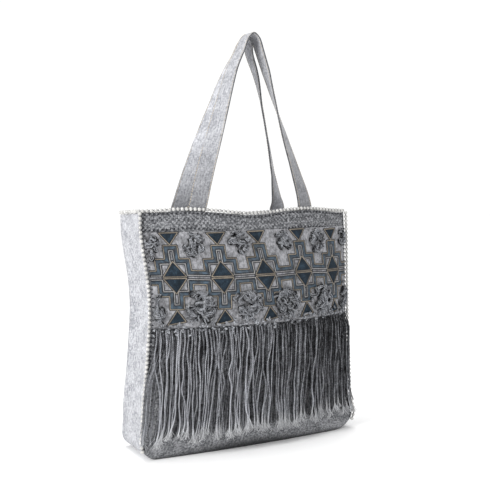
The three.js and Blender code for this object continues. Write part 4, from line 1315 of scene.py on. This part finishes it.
def ribbon_course(way):
    """The stepped course of a ribbon's middle; way is 1 above the middle line and -1 below it."""
    base, line = RIBBON["base_line"], RIBBON["shoulder_line"]
    shoulder, chimney, top = RIBBON["shoulder"], RIBBON["chimney"], RIBBON["chimney_line"]
    half = [(-shoulder, base), (-shoulder, line), (-chimney, line), (-chimney, top)]
    steps = np.array(half + [(-across, above) for across, above in half[::-1]]) * (1, way)
    course = [(RIBBON_ENDS["left"], MOTIFS[0]["lift"] + way * base)]
    for motif in MOTIFS:
        course.extend(in_motif(motif, steps))
    course.append((RIBBON_ENDS["right"], MOTIFS[-1]["lift"] + way * base))
    return np.array(course, float)


def mitres(course, closed=False):
    """At each corner of a course, the way that moves it sideways by one."""
    after = np.roll(course, -1, axis=0) - course
    before = course - np.roll(course, 1, axis=0)
    if not closed:
        after[-1], before[0] = before[-1], after[0]
    before, after = unit(before), unit(after)
    total = np.stack([-(before + after)[:, 1], (before + after)[:, 0]], -1)
    return 2 * total / np.einsum("ij,ij->i", total, total)[:, None]


def rounded(course, radius, closed=False):
    """A course with each corner cut to a short curve."""
    n = len(course)
    line = []
    for k in range(n):
        if not closed and k in (0, n - 1):
            line.append(course[k])
            continue
        before, corner, after = course[k - 1], course[k], course[(k + 1) % n]
        start = corner + unit(before - corner) * min(radius, np.linalg.norm(before - corner) / 2)
        end = corner + unit(after - corner) * min(radius, np.linalg.norm(after - corner) / 2)
        for t in (0, 0.35, 0.65, 1):
            line.append(start * (1 - t) ** 2 + corner * 2 * t * (1 - t) + end * t * t)
    return np.array(line)


def stepped(course, step, closed=False):
    """A course with places at most a step apart."""
    ends = np.vstack([course, course[:1]]) if closed else course
    places = []
    for a, b in zip(ends[:-1], ends[1:]):
        pieces = max(1, math.ceil(np.linalg.norm(b - a) / step))
        places += [lerp(a, b, t) for t in np.arange(pieces) / pieces]
    return np.array(places if closed else places + [ends[-1]])


def cord_line(course, radius, proud, rng, closed=False):
    """A cord laid on the band along a course."""
    flat = stepped(rounded(course, CORD_CORNER, closed), CORD_STEP, closed)
    points = on_band(flat[:, 0], flat[:, 1], proud)
    drift = 0.25 * np.sin(np.arange(len(flat)) / 9 + rng.uniform(0, 6))
    shade = 0.5 + drift + rng.uniform(-0.15, 0.15, len(flat))
    return yarn_line(points, radius, shade, closed=closed)


def stepped_pair(course, corner, offset):
    """A course moved sideways, with as many places on each run as the middle has."""
    moved = course + corner * offset
    places = []
    for k in range(len(course) - 1):
        pieces = max(1, math.ceil(np.linalg.norm(course[k + 1] - course[k]) / RIBBON_STEP))
        places += [lerp(moved[k], moved[k + 1], t) for t in np.arange(pieces) / pieces]
    return np.array(places + [moved[-1]])


def ribbon_mesh(name, way):
    """A rippled satin ribbon along its stepped course."""
    course = ribbon_course(way)
    corner = mitres(course)
    half = in_mm(sizes().ribbon_width) / 2
    edges = [stepped_pair(course, corner, share * half) for share, _ in RIBBON_SECTION]
    run = run_along(edges[len(edges) // 2])
    ripple = RIBBON_RIPPLE * np.sin(run / RIBBON_RIPPLE_RUN)
    rings, uv = [], []
    for (share, rise), edge in zip(RIBBON_SECTION, edges):
        rings.append(on_band(edge[:, 0], edge[:, 1], BAND_FACE + rise + ripple * (1 - share * share)))
        uv.append(np.stack([np.full_like(run, share * half), run], -1))
    under = [on_band(edges[k][:, 0], edges[k][:, 1], BAND_FACE - RIBBON_SINK) for k in (-1, 0)]
    uv += [uv[-1], uv[0]]
    return tube_mesh(name, np.stack(rings + under, 1), (satin_ribbon(),), np.stack(uv, 1))


class TOTE_OT_ribbons(bpy.types.Operator):
    """Makes the stepped ribbons"""

    bl_idname = "tote.ribbons"
    bl_label = "Ribbons"

    def execute(self, context):
        for row, way in (("upper", 1), ("lower", -1)):
            name = f"satin_ribbon_{row}"
            add_piece(name, ribbon_mesh(name, way), [f"stepped_ribbon_{row}"])
        return {"FINISHED"}


def half_diamond(way):
    base, tip = way * DIAMOND["split"], way * DIAMOND["height"]
    return {"half_width": DIAMOND["half_width"], "base": base, "tip": tip, "slant": 0}


def patch_corners():
    """Each patch's node with its three corners on the band."""
    shapes = {
        "top_triangle": TOP_TRIANGLE,
        "bottom_triangle": BOTTOM_TRIANGLE,
        "diamond_upper": half_diamond(1),
        "diamond_lower": half_diamond(-1),
    }
    corners = {}
    for k, motif in enumerate(MOTIFS):
        for node, shape in shapes.items():
            half, base = shape["half_width"], shape["base"]
            rise = shape["slant"] * half
            chart = ((-half, base - rise), (half, base + rise), (0, shape["tip"]))
            corners[f"{node}_{k + 1}"] = in_motif(motif, chart)
    return corners


def patch_mesh(name, corners):
    """A triangle of cloth that is padded a little in the middle."""
    n = PATCH_DIVISIONS
    weights = np.array([(i, j, n - i - j) for i in range(n + 1) for j in range(n + 1 - i)]) / n
    index = {tuple(np.rint(w * n).astype(int)[:2]): k for k, w in enumerate(weights)}
    flat = weights @ corners
    padding = 27 * weights.prod(axis=1)
    face = on_band(flat[:, 0], flat[:, 1], BAND_FACE + PATCH_RISE + PATCH_DOME * np.sqrt(padding))
    back = on_band(flat[:, 0], flat[:, 1], BAND_FACE)
    size = len(weights)
    triangles = []
    for i in range(n):
        for j in range(n - i):
            a, b, c = index[i, j], index[i + 1, j], index[i, j + 1]
            triangles += [(a, b, c), (a + size, c + size, b + size)]
            if j < n - i - 1:
                d = index[i + 1, j + 1]
                triangles += [(b, d, c), (b + size, c + size, d + size)]
    edges = ([(k, 0) for k in range(n)], [(n - k, k) for k in range(n)], [(0, n - k) for k in range(n)])
    ring = [index[place] for edge in edges for place in edge]
    for a, b in zip(ring, ring[1:] + ring[:1]):
        triangles += [(b, a, a + size), (b, a + size, b + size)]
    uv = np.tile(flat, (2, 1))
    return closed_mesh(name, np.vstack([face, back]), np.array(triangles), (slate_patch(),), uv)


class TOTE_OT_patches(bpy.types.Operator):
    """Makes the diamonds and triangles"""

    bl_idname = "tote.patches"
    bl_label = "Patches"

    def execute(self, context):
        for node, corners in patch_corners().items():
            add_piece(f"patch_{node}", patch_mesh(f"patch_{node}", corners), [node])
        return {"FINISHED"}


def side_of(corners):
    """Which way a triangle's mitres have to go to lead outwards."""
    a, b, c = corners
    turn = (b[0] - a[0]) * (c[1] - a[1]) - (b[1] - a[1]) * (c[0] - a[0])
    return -1 if turn > 0 else 1


class TOTE_OT_cords(bpy.types.Operator):
    """Lays the tan cords round ribbons and patches, the pale cords inside the ribbons, and painted shade
    beside them
    """

    bl_idname = "tote.cords"
    bl_label = "Cords of the motifs"

    def execute(self, context):
        rng = np.random.default_rng(CORD_SEED)
        tan_radius, pale_radius = in_mm(sizes().outline_cord) / 2, in_mm(sizes().inner_cord) / 2
        half = in_mm(sizes().ribbon_width) / 2
        dark_radius = SHADE_LINE_WIDTH / 2
        tan, pale, dark = [], [], []
        for way in (1, -1):
            course = ribbon_course(way)
            outward = mitres(course) * way
            outer = course + outward * (half + OUTER_CORD_OFFSET)
            tan.append(cord_line(outer, tan_radius, BAND_FACE + tan_radius * TAN_SEAT, rng))
            for offset in DARK_OUTER_OFFSETS:
                beside = course + outward * (half + offset)
                dark.append(cord_line(beside, dark_radius, BAND_FACE + dark_radius * DARK_SEAT, rng))
            inner = course - outward * (half + INNER_CORD_OFFSET)
            pale.append(cord_line(inner, pale_radius, BAND_FACE + pale_radius * PALE_SEAT, rng))
            for offset in DARK_INNER_OFFSETS:
                beside = course - outward * (half + offset)
                dark.append(cord_line(beside, dark_radius, BAND_FACE + dark_radius * DARK_INNER_SEAT, rng))
        for corners in patch_corners().values():
            outwards = mitres(corners, closed=True) * side_of(corners)
            outline = corners + outwards * PATCH_CORD_OFFSET
            height = BAND_FACE + PATCH_RISE * PATCH_CORD_SEAT
            tan.append(cord_line(outline, tan_radius, height, rng, closed=True))
            for offset in DARK_PATCH_OFFSETS:
                shadow = corners + outwards * offset
                height = BAND_FACE + (PATCH_RISE if offset < 0 else dark_radius * DARK_SEAT)
                dark.append(cord_line(shadow, dark_radius, height, rng, closed=True))
        rows = (
            ("tan_outline", tan, tan_cord()),
            ("pale_inline", pale, pale_cord()),
            ("painted_shade_lines", dark, dark_thread()),
        )
        for name, lines, material in rows:
            add_piece(name, yarn_mesh(name, lines, CORD_SIDES, material))
        return {"FINISHED"}


# Tufts


def cloth_frame(along, above, half_width, half_height, proud):
    """A seat on the band with the ways right, up and out of the cloth."""
    seat = on_band(along, above, proud)
    right = unit(on_band(along + half_width, above, proud) - on_band(along - half_width, above, proud))
    rise = unit(on_band(along, above + half_height, proud) - on_band(along, above - half_height, proud))
    out = unit(np.cross(right, rise))
    return seat, np.stack([right, np.cross(out, right), out])


def tuft_lock(rng, half_width, half_height, depth):
    """A curled lock in a tuft's own frame: middle line, the way across it, girth, twist and height."""
    t = np.linspace(0, 1, YARN_POINTS)
    bearing, start = rng.uniform(0, math.tau), LOCK_SPREAD * math.sqrt(rng.uniform(0, 1))
    crimp = LOCK_CRIMP * np.sin(math.tau * (rng.uniform(*LOCK_CRIMPS) * t + rng.uniform(0, 1)))
    heading = rng.normal(-math.pi / 2, LOCK_STRAY) + rng.uniform(*LOCK_CURL) * rng.choice((-1, 1)) * t + crimp
    way = np.stack([np.cos(heading), np.sin(heading)], -1)
    step = rng.uniform(*LOCK_LENGTH) * half_height / (YARN_POINTS - 1)
    root_x = LOCK_SPREAD * half_width * start * math.cos(bearing)
    root = (root_x, half_height * (start * math.sin(bearing) + LOCK_LIFT))
    middle = np.array(root) + step * (np.cumsum(way, axis=0) - way[0])
    spread = np.hypot(middle[:, 0] / half_width, middle[:, 1] / half_height)
    limit = rng.uniform(*LOCK_REACH)
    pull = limit / np.maximum(spread, limit)
    dome = 1 - 0.5 * np.minimum(spread * pull, 1) ** 2
    return {
        "middle": middle * pull[:, None],
        "across": np.stack([-way[:, 1], way[:, 0]], -1),
        "girth": rng.uniform(*LOCK_GIRTH) * depth / TUFT_DEPTH * (0.7 + 0.3 * np.sin(math.pi * t)),
        "twist": rng.uniform(*LOCK_TWIST) * rng.choice((-1, 1)) * t,
        "height": rng.uniform(*LOCK_LEVEL) * depth * dome,
    }


def lock_yarn(rng, lock, depth, kind):
    """One yarn that winds round a lock's middle, and how far it lies on the upper side at each point."""
    around = rng.uniform(0, math.tau) + lock["twist"]
    reach = lock["girth"] * rng.uniform(*kind["reach"])
    flat = lock["middle"] + lock["across"] * (reach * np.cos(around))[:, None]
    upper = np.sin(around) * kind["round"]
    high = np.clip(lock["height"] * kind["level"] + reach * upper, 0.6, depth)
    return np.column_stack([flat, high]), upper


def lock_lines(rng, seat, ways, size, kinds):
    """The yarns of one lock, with painted shade: the ones that lie low are darker, those on its upper side
    lighter.
    """
    lines = []
    depth = size[2]
    ends = np.interp(np.arange(YARN_POINTS), (0, 1, YARN_POINTS - 2, YARN_POINTS - 1), (0.6, 1, 1, 0.5))
    tip = 0.25 * ease(0.8, 1.0, np.linspace(0, 1, YARN_POINTS))
    lock = tuft_lock(rng, *size)
    for kind in kinds:
        for _ in range(kind["strands"]):
            local, upper = lock_yarn(rng, lock, depth, kind)
            tone = rng.uniform(*kind["shade"]) + 0.18 * upper + 0.35 * (local[:, 2] / depth - 0.45)
            thick = rng.uniform(*kind["thick"]) * ends
            lines.append(yarn_line(seat + local @ ways, thick, np.clip(tone, 0, 1), tip))
    return lines


class TOTE_OT_tufts(bpy.types.Operator):
    """Makes the curled yarn tufts between the motifs"""

    bl_idname = "tote.tufts"
    bl_label = "Tufts"

    def execute(self, context):
        rng = np.random.default_rng(TUFT_SEED)
        full = TUFT_ROWS[1]["half_width"] * TUFT_ROWS[1]["half_height"]
        for row in TUFT_ROWS:
            spots = []
            for k, (before, after) in enumerate(zip(MOTIFS[:-1], MOTIFS[1:])):
                spots.append((str(k + 1), (before["along"] + after["along"]) / 2, row["half_width"]))
            for label, along, half_width in (*spots, *END_TUFTS):
                extent = (half_width, row["half_height"])
                seat, ways = cloth_frame(along, row["above"], *extent, BAND_FACE + TUFT_SEAT)
                lines = []
                for _ in range(max(3, round(TUFT_LOCKS * half_width * row["half_height"] / full))):
                    lines += lock_lines(rng, seat, ways, (*extent, TUFT_DEPTH), LOCK_YARNS)
                name = f"tuft_yarn_{row['row']}_{label}"
                mesh = yarn_mesh(name, lines, TUFT_SIDES, tuft_wool())
                add_piece(name, mesh, [f"tuft_{row['row']}_{label}"])
        return {"FINISHED"}


# Fringe


def fringe_rest(x, z, root_x, root_z):
    """How far forward the yarn has to hang at a place to clear the panel and the beads of the seams."""
    bead = in_mm(sizes().bead)
    seam_y = -SEAM_DEPTH / 2 - bead * SEAM_BEAD_ROOM
    inside = np.minimum(x - left_edge(z), right_edge(z) - x)
    near = ease(*NEAR_SEAM, inside)
    panel = front_y(x, z)
    under = np.minimum(panel, lerp(panel, seam_y, near))
    hanging = front_y(root_x, root_z) - GAP - FRINGE_HEAD_DEPTH / 2 + FRINGE_LEAN * (root_z - z)
    return np.minimum(hanging + 2.0, under - FRINGE_CLEAR)


def wandering(rng, knots, places):
    """A smooth wandering curve that starts at nothing; places run from 0 to 1."""
    values = np.concatenate([[0.0], rng.normal(0, 1, knots)])
    spot = places * knots
    k = np.minimum(spot.astype(int), knots - 1)
    return lerp(values[k], values[k + 1], ease(0, 1, spot - k))


def fringe_clumps(rng):
    """The clumps that the yarns gather in: share of the width, sway and how much they fall short."""
    fall = np.linspace(0, 1, FRINGE_POINTS)
    clumps = []
    for k in range(FRINGE_CLUMPS):
        share = (k + rng.uniform(0.1, 0.9)) / FRINGE_CLUMPS
        sway = FRINGE_SWAY * wandering(rng, 3, fall)
        clumps.append({"share": share, "sway": sway, "short": rng.uniform(*CLUMP_SHORT)})
    return clumps


def fringe_strand(rng, layer, share, clumps):
    """One yarn of the fringe."""
    fall = np.linspace(0, 1, FRINGE_POINTS)
    clump = min(clumps, key=lambda each: abs(each["share"] - share))
    gather = layer["gather"] * rng.uniform(*GATHER_RANGE)
    root_z = FRINGE_TOP - rng.uniform(*ROOT_DEPTH)
    bottom = lerp(FRINGE_BOTTOM["left"], FRINGE_BOTTOM["right"], share)
    end_z = bottom + lerp(rng.uniform(*layer["short"]), clump["short"], min(gather, 1))
    z = lerp(root_z, end_z, fall)
    place = lerp(share, clump["share"], gather * ease(0.3, 0.95, fall))
    side = "left" if share < 0.5 else "right"
    flare = FRINGE_FLARE[side] * (2 * share - 1) ** 3 * fall ** FRINGE_FLARE_BEND[side]
    sway = gather * clump["sway"] + layer["wander"] * wandering(rng, rng.integers(4, 8), fall)
    hang = lerp(left_edge(root_z) + FRINGE_INSET, right_edge(root_z) - FRINGE_INSET, place)
    past_seam = RIGHT_COVER * ease(0.93, 1, share) * ease(0, 0.15, fall)
    x = hang + flare + past_seam + sway + rng.normal(0, layer["slant"]) * fall
    cover = np.interp(z, SEAM_COVER_HEIGHTS, SEAM_COVER_INSIDE) + rng.uniform(0, SEAM_SPREAD)
    over_seam = layer["cover"] * ease(SEAM_SHARE, SEAM_SHARE / 2, share) * ease(0.1, 0.4, fall)
    x = lerp(x, left_edge(z) + cover, over_seam)
    thick = rng.uniform(*layer["thick"])
    proud = rng.uniform(*layer["proud"]) * ease(0, 0.1, fall) + 0.5 * wandering(rng, 6, fall)
    y = fringe_rest(x, z, x[0], root_z) - thick - np.maximum(proud, 0)
    # painted shade: yarns darker towards the right, for the less light they get there
    darker = FRINGE_SHADOW * layer["shade"][1] * ease(0.3, 0.75, share)
    shade = rng.uniform(*layer["shade"]) - darker + 0.3 * fall - 0.15 + SEAM_LIGHT * over_seam
    shade = np.clip(shade + 0.1 * wandering(rng, 5, fall), 0, 1)
    tip = layer["tip"] * ease(0.84, 1.0, fall)
    girth = thick * (1 + 0.12 * np.sin(math.tau * (5 * fall + rng.uniform(0, 1))))
    return yarn_line(np.stack([x, y, z], -1), girth, shade, tip)


def frayed_end(rng, strand, fibres):
    """Fine fibres that fan out of a yarn's end like a small broom."""
    points = strand["points"]
    down = unit(points[-1] - points[-3])
    t = np.linspace(0, 1, FRAY_POINTS)[:, None]
    # painted shade carries into the ends: the ends of darker yarns, those on the right among them, fray less
    # white
    pale = lerp(0.4, 1.0, strand["shade"][-1])
    lines = []
    for _ in range(fibres):
        start = lerp(points[-3], points[-1], rng.uniform(0, 0.9))
        fan = np.array([rng.uniform(*lean) for lean in FRAY_FAN])
        reach = np.linalg.norm(points[-1] - start) + rng.uniform(*FRAY_REACH)
        line = start + (down + fan * t) * reach * t
        line[:, 2] = np.maximum(line[:, 2], FRAY_FLOOR)
        tip = np.linspace(0.1, rng.uniform(0.35, 1.0) * pale, FRAY_POINTS)
        lines.append(yarn_line(line, np.linspace(*FRAY_THICK, FRAY_POINTS), 0.75, tip))
    return lines


def head_loops(rng):
    """Curled yarns that cover the fringe's head."""
    lines = []
    first = np.interp(left_edge(MOTIF_LINE) + HEAD_INSET, MIDDLE_X, MIDDLE_RUN)
    last = np.interp(right_edge(MOTIF_LINE) - HEAD_INSET, MIDDLE_X, MIDDLE_RUN)
    for k in range(sizes().head_loops):
        share = (k + rng.uniform(0.1, 0.9)) / sizes().head_loops
        along = lerp(first, last, share)
        drop = lerp(HEAD_DROP["left"], HEAD_DROP["right"], share)
        above = FRINGE_TOP + rng.uniform(drop, HEAD_RISE) - MOTIF_LINE
        seat, ways = cloth_frame(along, above, HEAD_SPAN, HEAD_SPAN, BAND_FACE + HEAD_SEAT)
        lines += lock_lines(rng, seat, ways, HEAD_LOCK, HEAD_YARNS)
    return lines


class TOTE_OT_fringe(bpy.types.Operator):
    """Makes the long fringe, its frayed ends and the curled yarns along its head"""

    bl_idname = "tote.fringe"
    bl_label = "Fringe"

    def execute(self, context):
        clumps = fringe_clumps(np.random.default_rng(CLUMP_SEED))
        frayed = []
        for layer in FRINGE_LAYERS:
            rng = np.random.default_rng(layer["seed"])
            n = getattr(sizes(), layer["layer"] + "_strands")
            lines = [fringe_strand(rng, layer, (k + rng.uniform(0, 1)) / n, clumps) for k in range(n)]
            for line in lines:
                frayed += frayed_end(rng, line, layer["fray"])
            name = f"fringe_{layer['layer']}"
            add_piece(name, yarn_mesh(name, lines, FRINGE_SIDES, grey_yarn()), ["fringe"])
        ends = yarn_mesh("fringe_ends", frayed, FRAY_SIDES, grey_yarn())
        add_piece("fringe_ends", ends, ["fringe"])
        loops = head_loops(np.random.default_rng(HEAD_SEED))
        head = yarn_mesh("fringe_head", loops, TUFT_SIDES, tuft_wool())
        add_piece("fringe_head", head, ["fringe"])
        return {"FINISHED"}


# Beads


def bead_seat():
    return in_mm(sizes().bead) / 2 + GAP


def seam_bead_points(edge, outward):
    """Points of a bead string down a front seam."""
    out = bead_seat() * math.sqrt(0.5) + GAP
    heights = np.array([*SEAM_BEAD_HEIGHTS, float(front_rim(edge(RIM_HEIGHT))) - BEAD_HEAD_GAP])
    x = edge(heights)
    return np.stack([x + outward * out, front_y(x, heights) - out, heights], -1)


def rim_bead_points():
    """Points of the bead string round the rim, from the middle of the back."""
    left, right = float(left_edge(RIM_HEIGHT)), float(right_edge(RIM_HEIGHT))
    side_end = SEAM_DEPTH / 2 - RIM_BEAD_TURN

    def over_front(x):
        return np.stack([x, front_y(x, front_rim(x)) - BEAD_PROUD, front_rim(x) + bead_seat()], -1)

    def over_back(x):
        return np.stack([x, back_y(x, back_rim(x)) + BEAD_PROUD, back_rim(x) + bead_seat()], -1)

    def over_side(x, y):
        rim = lerp(front_rim(x), back_rim(x), y / SEAM_DEPTH + 0.5)
        return np.stack([np.full_like(y, x), y, rim + bead_seat()], -1)

    return np.vstack(
        [
            over_back(np.linspace(-RIM_BEAD_ENDS, left + RIM_BEAD_TURN, 7)),
            over_side(left - BEAD_PROUD, np.linspace(side_end, -side_end, 4)),
            over_front(np.linspace(left + RIM_BEAD_TURN, right - RIM_BEAD_TURN, 13)),
            over_side(right + BEAD_PROUD, np.linspace(-side_end, side_end, 4)),
            over_back(np.linspace(right - RIM_BEAD_TURN, RIM_BEAD_ENDS, 7)),
        ]
    )


class TOTE_OT_beads(bpy.types.Operator):
    """Strings beads along the front seams and round the rim"""

    bl_idname = "tote.beads"
    bl_label = "Beads"

    def execute(self, context):
        strings = {
            "left": seam_bead_points(left_edge, -1),
            "right": seam_bead_points(right_edge, 1),
            "rim": rim_bead_points(),
        }
        for seed, (side, points) in enumerate(strings.items()):
            line, _ = smooth_line(points, np.linspace(0, 1, 40 * len(points)))
            inputs = {
                "Pitch": sizes().bead_pitch,
                "Radius": sizes().bead / 2,
                "Thread Radius": sizes().bead_thread / 2,
                "Seed": BEAD_SEED + seed,
                "Material": pearl_bead(),
                "Thread Material": bead_thread(),
            }
            tree = tree_named("Beads along lines", bead_tree)
            mesh = grown_mesh(f"beads_{side}", tree, [{"points": line}], inputs)
            add_piece(f"beads_{side}", mesh, [f"bead_string_{side}"])
        return {"FINISHED"}


# Rows of stitches on the front, and marks of painted shade by its beads


def sewn_on_front(name, x, z, proud, material, sizes_mm, **settings):
    """Puts a row of grains on the front: stitches, and dark marks of painted shade by the beads. Their pitch,
    length and thickness are in millimetres.
    """
    lines = [{"points": on_front(x, z, proud), "facing": np.tile((0.0, -1.0, 0.0), (len(z), 1))}]
    mesh = stitch_mesh(name, lines, material, *(size * MM for size in sizes_mm), **settings)
    add_piece(name, mesh)


class TOTE_OT_stitches(bpy.types.Operator):
    """Sews the rows of stitches along the front's upper border and puts marks of painted shade beside the
    seams' beads
    """

    bl_idname = "tote.stitches"
    bl_label = "Border and seam stitches"

    def execute(self, context):
        x = np.linspace(left_edge(RIM_HEIGHT) + BORDER_INSET, right_edge(RIM_HEIGHT) - BORDER_INSET, 160)
        for seed, row in enumerate(STITCH_ROWS):
            z = front_rim(x) - row["below_rim"]
            proud = BORDER_PROUD - hollows(FRONT_HOLLOWS, x, z) * clear_of_band(z)
            # the dark rim row is painted shade under the rim's beads
            material = dark_thread() if row["dark"] else pale_thread()
            stitch = (row["pitch"], row["long"], row["thick"])
            settings = {"slant": row["slant"], "seed": STITCH_SEED + seed}
            sewn_on_front(f"stitches_{row['row']}", x, z, proud, material, stitch, **settings)
        pitch = in_mm(sizes().bead_pitch)
        stitch = (pitch, SEAM_SHADE_MARK["long"], SEAM_SHADE_MARK["thick"])
        # dark marks of painted shade on the front beside the seams' beads, one between each bead and the next
        for side, edge, inward in (("left", left_edge, 1), ("right", right_edge, -1)):
            beads, _ = smooth_line(seam_bead_points(edge, -inward), np.linspace(0, 1, 400))
            z = beads[beads[:, 2] > BEAD_FOOT + pitch / 2, 2]
            x = edge(z) + inward * SEAM_SHADE_MARK["inside"]
            on_cloth = BAND_FACE * ease(BAND_BOTTOM - 1, BAND_BOTTOM, z) * ease(BAND_TOP + 1, BAND_TOP, z)
            name, proud = f"stitches_seam_{side}", SEAM_PROUD + on_cloth
            sewn_on_front(name, x, z, proud, dark_thread(), stitch, slant=SEAM_SHADE_MARK["slant"])
        return {"FINISHED"}


# The stage


def look_along(thing, way):
    thing.rotation_euler = Vector(way).to_track_quat("-Z", "Y").to_euler()


def place_floor(scene):
    turns = np.linspace(0, math.tau, 96, endpoint=False)
    ring = FLOOR_RADIUS * np.stack([np.cos(turns), np.sin(turns), np.zeros_like(turns)], -1)
    mesh = bpy.data.meshes.new("studio_floor_disc")
    mesh.from_pydata(ring.tolist(), [], [list(range(len(ring)))])
    mesh.materials.append(studio_floor())
    floor = bpy.data.objects.new("studio_floor_disc", mesh)
    scene.collection.objects.link(floor)


def place_lights(scene):
    for row in LIGHTS:
        name = row["light"] + "_light"
        data = bpy.data.lights.new(name, row["kind"])
        data.energy = row["power"]
        if row["kind"] == "SUN":
            data.angle = math.radians(row["width"])
        else:
            data.shape, data.size = "DISK", row["width"]
        lamp = bpy.data.objects.new(name, data)
        lamp.location = row["place"]
        look_along(lamp, Vector(row["aim"]) - Vector(row["place"]))
        scene.collection.objects.link(lamp)


def place_sky(scene):
    world = bpy.data.worlds.new("studio_sky")
    world.use_nodes = True
    tree = world.node_tree
    sky = tree.nodes["Background"]
    sky.inputs["Color"].default_value = (1.0, 1.0, 1.0, 1.0)
    seen = add_node(tree, "ShaderNodeLightPath").outputs["Is Camera Ray"]
    strength = calculate(tree, "MULTIPLY_ADD", seen, BACKDROP - SKY_FILL, SKY_FILL)
    tree.links.new(strength, sky.inputs["Strength"])
    scene.world = world


def place_camera(scene):
    data = bpy.data.cameras.new("photo_camera")
    data.lens, data.sensor_width, data.sensor_fit = CAMERA_LENS, CAMERA_SENSOR, "HORIZONTAL"
    camera = bpy.data.objects.new("photo_camera", data)
    camera.location = Vector(CAMERA_PLACE) * MM
    level = math.cos(CAMERA_DIP)
    forward = (math.sin(CAMERA_TURN) * level, math.cos(CAMERA_TURN) * level, -math.sin(CAMERA_DIP))
    look_along(camera, forward)
    scene.collection.objects.link(camera)
    scene.camera = camera


class TOTE_OT_stage(bpy.types.Operator):
    """Sets up the floor, the light and the camera"""

    bl_idname = "tote.stage"
    bl_label = "Stage"

    def execute(self, context):
        for place in (place_floor, place_lights, place_sky, place_camera):
            place(context.scene)
        context.scene.view_settings.view_transform = "Standard"
        return {"FINISHED"}


# The sidebar


OPERATORS = (
    TOTE_OT_stage,
    TOTE_OT_panels,
    TOTE_OT_gusset,
    TOTE_OT_straps,
    TOTE_OT_band,
    TOTE_OT_ribbons,
    TOTE_OT_patches,
    TOTE_OT_cords,
    TOTE_OT_tufts,
    TOTE_OT_fringe,
    TOTE_OT_beads,
    TOTE_OT_stitches,
)


class TOTE_PT_sidebar(bpy.types.Panel):
    """Lists the makers of the tote's pieces with their sizes and colours"""

    bl_idname = "TOTE_PT_sidebar"
    bl_label = "Fringed tote"
    bl_space_type = "VIEW_3D"
    bl_region_type = "UI"
    bl_category = "Tote"

    def draw(self, context):
        for maker in OPERATORS:
            self.layout.operator(maker.bl_idname)
        for settings in (context.scene.tote_sizes, context.scene.tote_colours):
            box = self.layout.box()
            for name in settings.__annotations__:
                box.prop(settings, name)


CLASSES = (ToteSizes, ToteColours, *OPERATORS, TOTE_PT_sidebar)


def register():
    for item in CLASSES:
        bpy.utils.register_class(item)
    bpy.types.Scene.tote_sizes = bpy.props.PointerProperty(type=ToteSizes)
    bpy.types.Scene.tote_colours = bpy.props.PointerProperty(type=ToteColours)


def unregister():
    del bpy.types.Scene.tote_sizes
    del bpy.types.Scene.tote_colours
    for item in reversed(CLASSES):
        bpy.utils.unregister_class(item)


def main():
    register()
    for maker in OPERATORS:
        family, name = maker.bl_idname.split(".")
        getattr(getattr(bpy.ops, family), name)()


if __name__ == "__main__":
    main()
